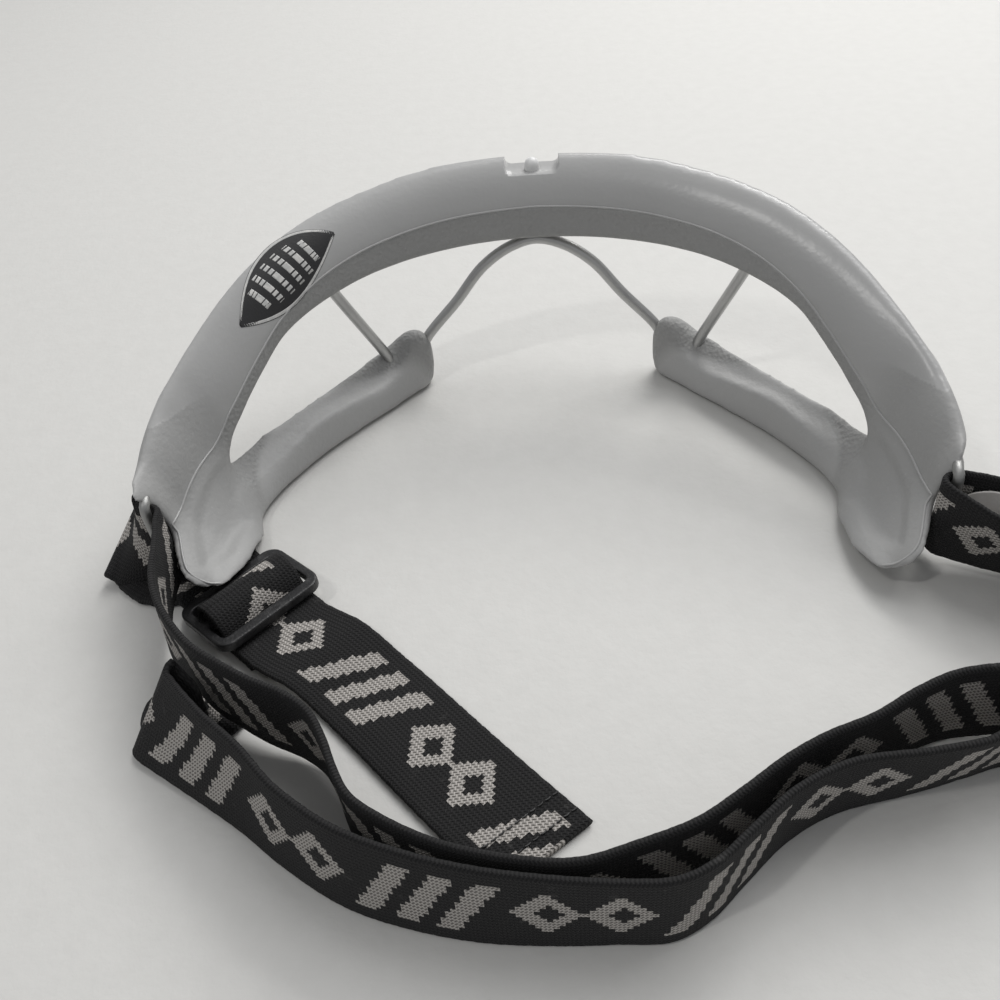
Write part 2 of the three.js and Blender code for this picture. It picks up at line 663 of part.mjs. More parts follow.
// Band from the slider under the left bail, round the bail, along the table, round the right bail
// and back to the fold near the slider.
const bandShares = [
  [-0.722, -0.69, 0.048, 0.678, 0.735, 0],
  [-0.763, -0.68, 0.048, 0.67, 0.735, 0],
  [-0.8, -0.665, 0.135, 0.62, 0.76, 0.18],
  [-0.832, -0.641, 0.22, 0.5, 0.78, 0.36],
  [-0.857, -0.625, 0.275, 0.35, 0.81, 0.48],
  [-0.87, -0.621, 0.305, 0.35, 0.81, 0.48],
  [-0.874, -0.624, 0.34, 0.35, 0.81, 0.48],
  [-0.87, -0.631, 0.375, 0.35, 0.81, 0.48],
  [-0.857, -0.64, 0.395, 0.34, 0.79, 0.52],
  [-0.838, -0.663, 0.46, 0.29, 0.6, 0.74],
  [-0.815, -0.683, 0.56, 0.17, 0.3, 0.93],
  [-0.788, -0.693, 0.65, 0.03, 0.04, 1],
  [-0.764, -0.6955, 0.676, 0, 0, 1],
  [-0.7495, -0.6975, 0.676, 0, 0, 1],
  [-0.7385, -0.7045, 0.676, 0, 0, 1],
  [-0.7345, -0.717, 0.676, 0, 0, 1],
  [-0.7335, -0.737, 0.676, 0.02, 0, 1],
  [-0.73, -0.77, 0.665, 0.08, 0.02, 0.99],
  [-0.722, -0.82, 0.66, 0.12, 0.04, 0.99],
  [-0.71, -0.875, 0.65, 0.1, 0.04, 0.99],
  [-0.683, -0.932, 0.645, 0.06, 0.04, 0.99],
  [-0.638, -0.988, 0.64, 0, 0, 1],
  [-0.588, -1.04, 0.63, 0, 0, 1],
  [-0.531, -1.077, 0.61, 0, 0, 1],
  [-0.48, -1.105, 0.58, 0, 0, 1],
  [-0.412, -1.134, 0.54, 0, 0, 1],
  [-0.37, -1.165, 0.515, 0, 0, 1],
  [-0.34, -1.213, 0.51, 0, 0, 1],
  [-0.317, -1.263, 0.51, 0, 0, 1],
  [-0.288, -1.31, 0.51, 0, 0, 1],
  [-0.232, -1.35, 0.51, 0, 0, 1],
  [-0.142, -1.391, 0.51, 0, 0, 1],
  [-0.031, -1.417, 0.51, 0, 0.02, 1],
  [0.05, -1.42, 0.51, 0, 0.02, 1],
  [0.133, -1.394, 0.51, 0, 0, 1],
  [0.218, -1.361, 0.51, 0, 0, 1],
  [0.286, -1.316, 0.51, 0, 0, 1],
  [0.359, -1.263, 0.51, 0, 0, 1],
  [0.421, -1.228, 0.51, 0, 0, 1],
  [0.5, -1.195, 0.51, 0, 0, 1],
  [0.572, -1.152, 0.51, 0, 0, 1],
  [0.641, -1.122, 0.515, 0, 0, 1],
  [0.72, -1.112, 0.52, 0, 0, 1],
  [0.81, -1.11, 0.53, 0, 0, 1],
  [0.9, -1.09, 0.545, 0, 0, 1],
  [0.975, -1.035, 0.56, 0, 0, 1],
  [1.005, -0.955, 0.58, 0, 0, 1],
  [0.985, -0.885, 0.575, 0.1, -0.25, 0.96],
  [0.925, -0.838, 0.58, 0.08, -0.36, 0.93],
  [0.86, -0.808, 0.6, 0.04, -0.38, 0.93],
  [0.8, -0.782, 0.635, 0, -0.3, 0.95],
  [0.76, -0.753, 0.668, 0, -0.12, 0.99],
  [0.7405, -0.734, 0.676, 0, 0, 1],
  [0.7345, -0.717, 0.676, 0, 0, 1],
  [0.7385, -0.7045, 0.676, 0, 0, 1],
  [0.7495, -0.6975, 0.676, 0, 0, 1],
  [0.767, -0.695, 0.676, 0, 0, 1],
  [0.8, -0.702, 0.658, 0, 0, 1],
  [0.85, -0.722, 0.63, 0, 0, 1],
  [0.91, -0.75, 0.6, 0, 0, 1],
  [0.985, -0.79, 0.58, 0, 0, 1],
  [1.045, -0.85, 0.565, 0, 0, 1],
  [1.07, -0.955, 0.56, 0, 0, 1],
  [1.04, -1.07, 0.535, 0, 0, 1],
  [0.95, -1.15, 0.525, 0, 0, 1],
  [0.84, -1.178, 0.515, 0, -0.06, 0.99],
  [0.737, -1.185, 0.51, 0, -0.16, 0.98],
  [0.653, -1.217, 0.505, 0, -0.25, 0.97],
  [0.567, -1.238, 0.505, 0, -0.2, 0.97],
  [0.45, -1.261, 0.505, 0, -0.12, 0.99],
  [0.365, -1.305, 0.505, 0, -0.08, 0.99],
  [0.295, -1.366, 0.505, 0, -0.05, 1],
  [0.235, -1.42, 0.505, 0, -0.02, 1],
  [0.18, -1.447, 0.505, 0, 0, 1],
  [0.1, -1.45, 0.505, 0, 0, 1],
  [0, -1.447, 0.505, 0, 0.05, 1],
  [-0.1, -1.437, 0.505, 0, 0.1, 0.99],
  [-0.2, -1.415, 0.505, 0, 0.14, 0.99],
  [-0.305, -1.377, 0.5, 0, 0.18, 0.98],
  [-0.407, -1.312, 0.5, 0.05, 0.2, 0.98],
  [-0.487, -1.242, 0.5, 0.1, 0.28, 0.95],
  [-0.562, -1.186, 0.495, 0.15, 0.32, 0.93],
  [-0.624, -1.138, 0.485, 0.3, 0.33, 0.88],
  [-0.664, -1.106, 0.473, 0.44, 0.32, 0.83],
  [-0.678, -1.092, 0.465, 0.47, 0.32, 0.82],
  [-0.68, -1.08, 0.46, 0.47, 0.32, 0.82],
  [-0.672, -1.07, 0.452, 0.47, 0.32, 0.82],
  [-0.665, -1.062, 0.41, 0.6, 0, 0.65],
  [-0.657, -1.053, 0.28, 0.68, -0.35, 0.4],
  [-0.648, -1.043, 0.14, 0.7, -0.6, 0.17],
  [-0.638, -1.032, 0.05, 0.7, -0.7, 0],
  [-0.615, -1.003, 0.048, 0.75, -0.66, 0],
  [-0.597, -0.978, 0.048, 0.8, -0.6, 0],
];

// Heights of the run over the middle bar, by distance along the strap from that bar, both in shares of
// SLIDER_PITCH.
const feedShares = [
  [-1.75, 0.12],
  [-1.35, 0.12],
  [-0.97, 0.12],
  [-0.7, 0.19],
  [-0.6, 0.38],
  [-0.48, 0.76],
  [-0.26, 1.0],
  [0, 1.075],
  [0.26, 1.005],
  [0.47, 0.785],
  [0.64, 0.48],
  [0.86, 0.36],
  [1.2, 0.36],
  [1.6, 0.36],
];
const TAIL_RUN = 66;
const TAIL_SKEW = 8.5;
const TAIL_DRIFT = 2.2;

function denseStations(stations, step) {
  const centres = new THREE.CatmullRomCurve3(stations.map((s) => s.centre), false, 'centripetal');
  const result = [];
  const spans = stations.length - 1;
  for (let i = 0; i < spans; i += 1) {
    const length = stations[i].centre.distanceTo(stations[i + 1].centre);
    const pieces = Math.max(1, Math.round(length / step));
    for (let k = 0; k < pieces; k += 1) {
      const t = k / pieces;
      result.push({
        centre: centres.getPoint((i + t) / spans),
        width: stations[i].width.clone().lerp(stations[i + 1].width, t).normalize(),
        pinched: stations[i].pinched,
      });
    }
  }
  result.push(stations[spans]);
  return result;
}

const SHEAR_LIMIT_SHARE = 0.8;

function ribbonGeometry(stations) {
  const last = stations.length - 1;
  const rings = stations.map((station, i) => {
    const before = stations[Math.max(0, i - 1)].centre;
    const after = stations[Math.min(last, i + 1)].centre;
    const tangent = after.clone().sub(before).normalize();
    const across = station.width.clone();
    const normal = tangent.clone().cross(across);
    const fromBail = Math.hypot(Math.abs(station.centre.x) - BAIL_X, station.centre.y - BAIL_Y);
    const pinch = station.pinched ? PINCH_SHARE * Math.exp(-((fromBail / PINCH_REACH) ** 2)) : 0;
    const stretch = (1 - pinch) / Math.max(normal.length(), SHEAR_LIMIT_SHARE);
    normal.normalize();
    const half = across.multiplyScalar((stretch * STRAP_WIDTH) / 2);
    const lift = normal.multiplyScalar(STRAP_THICKNESS / 2);
    const centre = station.centre;
    return [
      centre.clone().add(half).add(lift),
      centre.clone().sub(half).add(lift),
      centre.clone().sub(half).sub(lift),
      centre.clone().add(half).sub(lift),
    ];
  });
  return skinRings(rings);
}

function feedStations() {
  return feedShares.map((row) => axisStation(row[0] * SLIDER_PITCH, row[1] * SLIDER_PITCH));
}

// Distance along the tail, height between the table and the raised start, and sideways drift, as
// shares of TAIL_RUN, of the raise and of TAIL_DRIFT.
const tailShares = [
  [0, 1, 0],
  [0.06, 1, 0.3],
  [0.13, 1, 0.72],
  [0.2, 0.5, 0.95],
  [0.27, 0, 1],
  [0.4, 0, 0.85],
  [0.6, 0, 0.5],
  [0.8, 0, 0.2],
  [1, 0, 0],
];

function tailStations() {
  const start = feedShares[feedShares.length - 1][0] * SLIDER_PITCH + STRAP_JOIN_GAP;
  const raise = feedShares[feedShares.length - 1][1] * SLIDER_PITCH - FLAT;
  const stations = tailShares.map((row) => axisStation(
    start + row[0] * TAIL_RUN,
    FLAT + row[1] * raise,
    row[2] * TAIL_DRIFT,
  ));
  const end = stations[stations.length - 1];
  end.width.applyAxisAngle(new THREE.Vector3(0, 0, 1), -radians(TAIL_SKEW));
  return stations;
}

function bandStations() {
  const start = feedShares[0][0] * SLIDER_PITCH - STRAP_JOIN_GAP;
  return [axisStation(start, FLAT), ...bandShares.map(routeStation)];
}

// Flat tab of the sewn end, then its foot below the middle bar and the turn round that bar.
const tabShares = [1, 0.6, 0.38];
const LOOP_FOOT_SHARE = 0.18;
const LOOP_FOOT_DROP_SHARE = 0.15;
const LOOP_ANGLE = 250;
const LOOP_COUNT = 10;

function endStations() {
  const stations = [
    ...tabShares.map((share) => axisStation(LOOP_TAB * share, FLAT)),
    axisStation(LOOP_TAB * LOOP_FOOT_SHARE, SLIDER_Z - LOOP_RADIUS - STRAP_THICKNESS * LOOP_FOOT_DROP_SHARE),
  ];
  for (let degrees = 0; degrees <= LOOP_ANGLE; degrees += LOOP_ANGLE / LOOP_COUNT) {
    const a = radians(degrees);
    stations.push(axisStation(-LOOP_RADIUS * Math.sin(a), SLIDER_Z - LOOP_RADIUS * Math.cos(a)));
  }
  return stations;
}

// Slider.
function roundedRect(path, x0, y0, x1, y1, r) {
  path.moveTo(x0 + r, y0);
  path.lineTo(x1 - r, y0);
  path.quadraticCurveTo(x1, y0, x1, y0 + r);
  path.lineTo(x1, y1 - r);
  path.quadraticCurveTo(x1, y1, x1 - r, y1);
  path.lineTo(x0 + r, y1);
  path.quadraticCurveTo(x0, y1, x0, y1 - r);
  path.lineTo(x0, y0 + r);
  path.quadraticCurveTo(x0, y0, x0 + r, y0);
}

function sliderGeometry() {
  const reach = SLIDER_PITCH + SLIDER_END_BAR / 2 - SLIDER_EDGE;
  const across = SLIDER_HALF_WIDTH - SLIDER_EDGE;
  const shape = new THREE.Shape();
  roundedRect(shape, -reach, -across, reach, across, SLIDER_CORNER);
  const near = SLIDER_BAR / 2 + SLIDER_EDGE;
  const far = SLIDER_PITCH - SLIDER_END_BAR / 2 + SLIDER_EDGE;
  const slotHalf = SLIDER_SLOT_HALF_WIDTH + SLIDER_EDGE;
  for (const side of [-1, 1]) {
    const slot = new THREE.Path();
    const low = side > 0 ? near - SLIDER_EDGE - SLIDER_EDGE : -far;
    const high = side > 0 ? far : -(near - SLIDER_EDGE - SLIDER_EDGE);
    roundedRect(slot, low, -slotHalf, high, slotHalf, SLOT_CORNER);
    shape.holes.push(slot);
  }
  const plate = new THREE.ExtrudeGeometry(shape, {
    depth: SLIDER_THICKNESS - 2 * SLIDER_EDGE,
    bevelEnabled: true,
    bevelThickness: SLIDER_EDGE,
    bevelSize: SLIDER_EDGE,
    bevelSegments: 2,
    curveSegments: 6,
  });
  plate.translate(0, 0, SLIDER_EDGE - SLIDER_THICKNESS / 2);
  plate.rotateY(-radians(SLIDER_TILT));
  plate.rotateZ(radians(SLIDER_HEADING));
  plate.translate(SLIDER_X, SLIDER_Y, SLIDER_Z);
  return faceOutwards(bare(plate));
}

// Round label on the inner face of the right-hand strap run, which it follows.
const labelRunShares = [
  [0.767, -0.695],
  [0.85, -0.722],
  [0.91, -0.75],
];
const LABEL_COUNT = 12;
const LABEL_END_SHARE = 0.06;

function labelGeometry() {
  const run = new THREE.CatmullRomCurve3(labelRunShares.map(
    (row) => new THREE.Vector3(row[0] * STRAP_REACH, row[1] * STRAP_DEPTH, 0),
  ));
  const from = run.getPoint(0).x;
  const span = run.getPoint(1).x - from;
  const rings = [];
  for (let i = 0; i <= LABEL_COUNT; i += 1) {
    const u = (2 * i) / LABEL_COUNT - 1;
    const t = THREE.MathUtils.clamp((LABEL_X + u * LABEL_RADIUS - from) / span, 0, 1);
    const half = LABEL_RADIUS * Math.max(LABEL_END_SHARE, Math.sqrt(1 - u * u));
    const tangent = run.getTangent(t);
    const out = new THREE.Vector3(tangent.y, -tangent.x, 0).normalize();
    const inner = STRAP_THICKNESS / 2 + LABEL_LIFT;
    const outer = inner + LABEL_THICKNESS;
    const ring = [];
    for (const [offset, v] of [[inner, -1], [inner, 1], [outer, 1], [outer, -1]]) {
      const place = run.getPoint(t).addScaledVector(out, offset);
      place.z = LABEL_Z - LABEL_FALL_SHARE * u * LABEL_RADIUS + v * half;
      ring.push(place);
    }
    rings.push(ring);
  }
  return skinRings(rings);
}

// Nodes.
addMesh('frame_moulding', frameGeometry(), 0x8f9295, 0.5, 0);
addMesh('badge_plate', badgeGeometry(0, BADGE_RAISE, BADGE_SINK), 0x1c1c1e, 0.6, 0);
addMesh('centre_plug', plugGeometry(), 0xd0d2d2, 0.35, 0);
addMesh('cage_wire', faceOutwards(bare(wireGeometry(cageRoute(), CAGE_WIRE_RADIUS, 84, 5))), 0x9a9ca0, 0.35, 1);
for (const [side, name] of [[-1, 'strap_bail_left'], [1, 'strap_bail_right']]) {
  const wire = wireGeometry(bailRoute(side), BAIL_WIRE_RADIUS, 40, 5);
  addMesh(name, faceOutwards(bare(wire)), 0x9a9ca0, 0.35, 1);
}
addMesh('strap_band', ribbonGeometry(denseStations(bandStations(), STRAP_STEP)), 0x161618, 0.9, 0);
addMesh('strap_feed', ribbonGeometry(denseStations(feedStations(), STRAP_STEP)), 0x161618, 0.9, 0);
addMesh('strap_tail', ribbonGeometry(denseStations(tailStations(), STRAP_STEP)), 0x161618, 0.9, 0);
addMesh('strap_end', ribbonGeometry(denseStations(endStations(), STRAP_STEP)), 0x161618, 0.9, 0);
addMesh('strap_slider', sliderGeometry(), 0x232326, 0.55, 0);
addMesh('strap_label', labelGeometry(), 0xe4e1dc, 0.5, 0);

// Origin under the middle of the bounding box.
const bounds = new THREE.Box3().setFromObject(group);
const middle = bounds.getCenter(new THREE.Vector3());
for (const mesh of group.children) {
  mesh.geometry.translate(-middle.x, -middle.y, -bounds.min.z);
}

export default group;
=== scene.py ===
import math
import bpy
import bmesh
import numpy as np
from mathutils import Matrix, Vector


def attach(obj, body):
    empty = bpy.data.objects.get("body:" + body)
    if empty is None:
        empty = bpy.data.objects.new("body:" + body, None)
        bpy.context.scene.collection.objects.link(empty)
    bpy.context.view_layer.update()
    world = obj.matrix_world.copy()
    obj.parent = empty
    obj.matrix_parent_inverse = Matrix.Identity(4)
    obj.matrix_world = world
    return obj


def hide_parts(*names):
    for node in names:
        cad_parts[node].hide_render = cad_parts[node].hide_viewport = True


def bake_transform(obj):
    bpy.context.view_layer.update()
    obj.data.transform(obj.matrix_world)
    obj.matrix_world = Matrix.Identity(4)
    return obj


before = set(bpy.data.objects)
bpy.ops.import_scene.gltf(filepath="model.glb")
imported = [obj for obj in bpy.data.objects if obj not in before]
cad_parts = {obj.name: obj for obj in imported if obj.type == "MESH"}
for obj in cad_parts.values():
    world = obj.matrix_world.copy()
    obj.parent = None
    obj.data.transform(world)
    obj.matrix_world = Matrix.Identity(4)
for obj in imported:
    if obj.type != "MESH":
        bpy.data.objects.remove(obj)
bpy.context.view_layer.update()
scene = bpy.context.scene
scene.view_settings.view_transform = "Standard"

# Camera: held above and behind the wearer's side, looking down into the goggles. Its place, turn and
# lens were fitted to the photograph.
CAMERA_PLACE = (-0.002218, -0.138024, 0.148650)
CAMERA_YAW = -0.09847
CAMERA_PITCH = 0.75049
CAMERA_ROLL = -0.10716
CAMERA_LENS = 36.108


def add_object(name, data):
    made = bpy.data.objects.new(name, data)
    scene.collection.objects.link(made)
    return made


camera_data = bpy.data.cameras.new("photo_camera")
camera_data.lens = CAMERA_LENS
camera_data.sensor_width = 36
camera_data.sensor_fit = "HORIZONTAL"
camera_data.clip_start = 0.005
camera = add_object("photo_camera", camera_data)
turned = Matrix.Rotation(-CAMERA_YAW, 4, "Z") @ Matrix.Rotation(math.pi / 2 - CAMERA_PITCH, 4, "X")
camera.matrix_world = Matrix.Translation(CAMERA_PLACE) @ turned @ Matrix.Rotation(CAMERA_ROLL, 4, "Z")
scene.camera = camera

# Moulding: one piece of soft grey silicone, a wrapped brow bar whose ends turn into leaf-shaped temple
# pads, with a cheek arm under each side. It is lofted from the same key sections as the solid, joined
# into one skin, and its notch is cut last.
OFFSET = np.array((-8.158279, 69.945931, 0.030805))
WRAP_HALF_WIDTH = 80
WRAP_DEPTH = 78
WRAP_CENTRE_Y = -72
FRAME_HEIGHT = 54.5
PAD_DEPTH = 20
ARM_START = (33, -13.1)
ARM_TURN = math.radians(51.3)
ARM_REACH = 50
ARM_WIDTH = 7.5
ARM_HEIGHT = 12
ARM_TENSION = 0.3
ARM_STEPS = (0, 0.25, 0.5, 0.75)
TOP_BULGE_SHARE = 0.74
TOP_DROP_SHARE = 0.24
BROW_SHARES = [
    (0, 0.15, 1.0, 0.55, 0.835, 0.575, 0.712, 0.49, 0.686, 0.25, 0.68, 0.075, 0.706, 0, 0.845),
    (15, 0.15, 0.995, 0.55, 0.826, 0.575, 0.708, 0.49, 0.682, 0.25, 0.677, 0.075, 0.702, 0, 0.84),
    (30, 0.15, 0.958, 0.55, 0.796, 0.565, 0.688, 0.48, 0.664, 0.25, 0.657, 0.075, 0.679, 0, 0.813),
    (40, 0.15, 0.921, 0.55, 0.752, 0.565, 0.657, 0.48, 0.633, 0.25, 0.628, 0.075, 0.651, 0, 0.78),
    (50, 0.15, 0.853, 0.55, 0.67, 0.55, 0.602, 0.47, 0.573, 0.25, 0.565, 0.075, 0.587, 0, 0.716),
    (57, 0.145, 0.789, 0.55, 0.582, 0.55, 0.51, 0.47, 0.483, 0.25, 0.477, 0.075, 0.5, 0, 0.642),
    (63, 0.14, 0.728, 0.54, 0.501, 0.54, 0.428, 0.47, 0.395, 0.25, 0.385, 0.075, 0.404, 0, 0.569),
    (68, 0.13, 0.679, 0.5, 0.428, 0.525, 0.35, 0.49, 0.305, 0.26, 0.295, 0.08, 0.32, 0, 0.514),
    (71, 0.125, 0.646, 0.46, 0.372, 0.52, 0.27, 0.56, 0.165, 0.35, 0.147, 0.13, 0.18, 0, 0.477),
    (73, 0.12, 0.624, 0.44, 0.358, 0.6, 0.19, 0.84, 0.012, 0.55, 0, 0.25, 0.03, 0, 0.44),
    (76, 0.1, 0.587, 0.425, 0.35, 0.7, 0.128, 0.925, 0.008, 0.6, 0, 0.3, 0.055, 0, 0.404),
    (80, 0.1, 0.545, 0.4, 0.325, 0.76, 0.1, 0.98, 0.038, 0.62, 0.04, 0.36, 0.078, 0.02, 0.37),
    (84, 0.1, 0.5, 0.365, 0.285, 0.78, 0.09, 0.99, 0.04, 0.66, 0.045, 0.4, 0.085, 0.07, 0.34),
]
END_START_ANGLE = 84
END_SHARES = [
    (0, 0, 0), (0.2, 0.2, 0), (0.4, 0.45, 0), (0.58, 0.67, 0.01), (0.74, 0.81, 0.04), (0.86, 0.88, 0.11),
    (0.94, 0.93, 0.27), (0.985, 0.965, 0.56), (1, 1, 1),
]
EDGE_SHARE = 0.25
# Rows: place across the pad, then how far round the wrap its edge reaches at the left and at the right.
EDGE_ANGLES = [
    (0.1, 87, 84.2), (0.125, 88.2, 85.2), (0.149, 89.2, 86.2), (0.173, 89.4, 87), (0.197, 88.8, 87.6),
    (0.22, 87.8, 87.6), (0.243, 87.4, 87.4), (0.265, 87.4, 87.4), (0.31, 87.2, 87.2), (0.35, 87.6, 87.6),
    (0.4, 90.8, 90.8), (0.49, 95.2, 95.2), (0.585, 96.3, 96.3), (0.685, 96.2, 96.2), (0.76, 95.8, 95.8),
    (0.83, 95.2, 95.2), (0.91, 93, 93), (1, 89.6, 89.6),
]
TIP_LIFTS = (2.7, 1.3)
TIP_RISE_ANGLES = (75, 88)
TIP_SHARES = (0.35, 0.7)
EDGE_ROUND = 0.8
EDGE_ROUND_FROM = 70
EDGE_ROUND_FULL = 80
FOOT_GROWTH = 1.3
END_GROWTH = 1.0
MOULD_GRID = 0.0006
ARM_SHARES = [
    (-0.226, 0.16, 0.42, 0.08, 0.5, 0.1, 0.79, 0.24, 0.96, 0.38, 0.98,
     0.54, 0.9, 0.62, 0.7, 0.58, 0.5, 0.45, 0.42),
    (-0.2, 0.03, 0.2, -0.04, 0.5, -0.03, 0.96, 0.13, 1.2, 0.4, 1.23,
     0.67, 1.1, 0.8, 0.75, 0.77, 0.36, 0.61, 0.2),
    (-0.156, -0.07, 0.04, -0.05, 0.5, 0, 1.08, 0.19, 1.3, 0.48, 1.33,
     0.8, 1.17, 0.93, 0.8, 0.9, 0.25, 0.72, 0.04),
    (-0.11, -0.05, 0, 0, 0.5, 0.12, 1.11, 0.32, 1.27, 0.61, 1.27,
     0.93, 1.13, 1.05, 0.83, 0.96, 0.25, 0.79, 0),
    (-0.06, -0.01, 0, 0.05, 0.46, 0.17, 0.87, 0.4, 0.97, 0.67, 1.03,
     1.01, 1.07, 1.09, 0.83, 0.99, 0.25, 0.8, 0),
    (0, 0, 0, 0.07, 0.42, 0.2, 0.72, 0.43, 0.72, 0.75, 0.88,
     1.07, 1.03, 1.11, 0.83, 1.0, 0.25, 0.8, 0),
    (0.12, 0.04, 0, 0.11, 0.42, 0.23, 0.68, 0.45, 0.63, 0.75, 0.78,
     1.07, 1.0, 1.12, 0.83, 1.0, 0.25, 0.83, 0),
    (0.28, 0.13, 0, 0.19, 0.42, 0.28, 0.75, 0.51, 0.68, 0.76, 0.8,
     1.04, 1.0, 1.11, 0.83, 0.99, 0.25, 0.83, 0),
    (0.5, 0.19, 0, 0.23, 0.42, 0.32, 0.83, 0.53, 0.77, 0.77, 0.83,
     1.01, 1.0, 1.07, 0.83, 0.97, 0.25, 0.83, 0),
    (0.7, 0.09, 0, 0.13, 0.42, 0.24, 0.74, 0.48, 0.7, 0.75, 0.8,
     1.0, 1.0, 1.07, 0.83, 0.96, 0.25, 0.81, 0),
    (0.84, -0.16, 0, -0.03, 0.38, 0.2, 0.69, 0.4, 0.67, 0.64, 0.78,
     0.91, 1.0, 0.99, 0.83, 0.93, 0.25, 0.77, 0),
    (0.96, -0.48, 0, -0.27, 0.38, 0.16, 0.73, 0.37, 0.75, 0.56, 0.83,
     0.8, 1.02, 0.88, 0.83, 0.83, 0.25, 0.67, 0),
    (1.08, -1.0, 0, -0.5, 0.38, -0.2, 0.63, 0.05, 0.75, 0.3, 0.83,
     0.53, 0.9, 0.6, 0.8, 0.58, 0.25, 0.47, 0),
]


def cubic(t, start, start_slope, end, end_slope):
    """Value at t of the cubic between two values with the given slopes."""
    h = (2 * t**3 - 3 * t**2 + 1, t**3 - 2 * t**2 + t, 3 * t**2 - 2 * t**3, t**3 - t**2)
    return h[0] * start + h[1] * start_slope + h[2] * end + h[3] * end_slope


def smooth_between(values, low, high):
    """Rises smoothly from 0 at low to 1 at high."""
    t = np.clip((values - low) / (high - low), 0, 1)
    return t * t * (3 - 2 * t)


def read_table(table, at):
    """Smooth values of the columns of a table whose first column rises."""
    rows = np.array(table, float)
    i = min(max(np.searchsorted(rows[:, 0], at) - 1, 0), len(rows) - 2)
    chords = np.diff(rows[:, 1:], axis=0) / np.diff(rows[:, :1], axis=0)
    chords = np.vstack([chords[:1], chords, chords[-1:]])
    before, after = chords[i:i + 2], chords[i + 1:i + 3]
    even = before * after > 0
    slopes = np.where(even, 2 * before * after / np.where(even, before + after, 1), 0)
    run = rows[i + 1, 0] - rows[i, 0]
    t = min(1, max(0, (at - rows[i, 0]) / run))
    return cubic(t, rows[i, 1:], run * slopes[0], rows[i + 1, 1:], run * slopes[1])


def wrap_point(angle, inset, z):
    a = math.radians(angle)
    x = (WRAP_HALF_WIDTH - inset) * math.sin(a)
    return (x, WRAP_CENTRE_Y + (WRAP_DEPTH - inset) * math.cos(a), z)


def brow_keys(angle):
    """Inset and height of the seven corners of the brow's section."""
    return read_table(BROW_SHARES, abs(angle)).reshape(7, 2) * (PAD_DEPTH, FRAME_HEIGHT)


def bend(start, control, end, t):
    return (1 - t) ** 2 * start + 2 * (1 - t) * t * control + t**2 * end


def top_control(top, seam):
    return top + (seam - top) * np.array((TOP_BULGE_SHARE, TOP_DROP_SHARE))


def rounded_run(start, end, steps, swell):
    """Points from start up to end, swollen to the left so that a thin edge comes out rounded."""
    run = end - start
    aside = np.array((run[1], -run[0])) / np.linalg.norm(run)
    shares = np.linspace(0, 1, steps + 1)[:-1]
    return [start + run * t - aside * swell * 2 * math.sqrt(t * (1 - t)) for t in shares]


def brow_outline(angle):
    """Section of the brow; its first half, from top edge to foot, pairs with its second half backwards."""
    top, seam, band, foot, under, outer_foot, outer = brow_keys(angle)
    control = 2 * outer - (outer_foot + top) / 2
    edge_step = smooth_between(abs(angle), EDGE_ROUND_FROM, EDGE_ROUND_FULL)
    tip_way = foot - (band + under) / 2
    foot = foot + tip_way / np.linalg.norm(tip_way) * FOOT_GROWTH * edge_step
    section = [bend(top, top_control(top, seam), seam, t) for t in np.linspace(0, 1, 19)[:-1]]
    section += [seam + (band - seam) * t for t in np.linspace(0, 1, 9)[:-1]]
    section += rounded_run(band, foot, 8, EDGE_ROUND * edge_step)
    section += rounded_run(foot, under, 4, EDGE_ROUND * edge_step / 2)
    section += [under + (outer_foot - under) * t for t in np.linspace(0, 1, 5)[:-1]]
    section += [bend(outer_foot, control, top, t) for t in np.linspace(0, 1 / 3, 9)[:-1]]
    section += [bend(outer_foot, control, top, t) for t in np.linspace(1 / 3, 1, 19)[:-1]]
    return section


def tip_lift(angle, inset):
    across = smooth_between(inset / PAD_DEPTH, *TIP_SHARES)
    return TIP_LIFTS[int(angle > 0)] * across * smooth_between(abs(angle), *TIP_RISE_ANGLES)


def brow_section(angle):
    return [wrap_point(angle, p[0], p[1] + tip_lift(angle, p[0])) for p in brow_outline(angle)]


def end_section(side, way):
    """Section of a temple's rounded end: its surfaces close in pairs on the edge of the leaf pad."""
    section = brow_outline(END_START_ANGLE)
    count = len(section)
    outer_share, inner_share = read_table(END_SHARES, way)
    points = []
    for k, point in enumerate(section):
        twin = section[(count - k) % count]
        is_inner = k <= count / 2
        edge = point + (twin - point) * EDGE_SHARE if is_inner else twin + (point - twin) * EDGE_SHARE
        edge_angle = read_table(EDGE_ANGLES, edge[0] / PAD_DEPTH)[int(side > 0)] + END_GROWTH
        angle = END_START_ANGLE + way * (edge_angle - END_START_ANGLE)
        place = point + (edge - point) * (inner_share if is_inner else outer_share)
        points.append(wrap_point(side * angle, place[0], place[1] + tip_lift(side * angle, edge[0])))
    return points


def arm_point(side, along, across, z):
    x = ARM_START[0] + along * math.cos(ARM_TURN) + across * math.sin(ARM_TURN)
    return (side * x, ARM_START[1] - along * math.sin(ARM_TURN) + across * math.cos(ARM_TURN), z)


def arm_section(side, station):
    """Section of a cheek arm: a curve through nine keys that closes flat along the table."""
    keys = read_table(ARM_SHARES, station).reshape(9, 2) * (ARM_WIDTH, ARM_HEIGHT)
    slopes = (np.roll(keys, -1, axis=0) - np.roll(keys, 1, axis=0)) * ARM_TENSION
    slopes[[0, 8]] = 0
    points = [cubic(t, keys[k], slopes[k], keys[k + 1], slopes[k + 1]) for k in range(8) for t in ARM_STEPS]
    points += [(keys[8][0] + (keys[0][0] - keys[8][0]) * t, 0) for t in ARM_STEPS]
    return [arm_point(side, station * ARM_REACH, a, max(0, z)) for a, z in points]


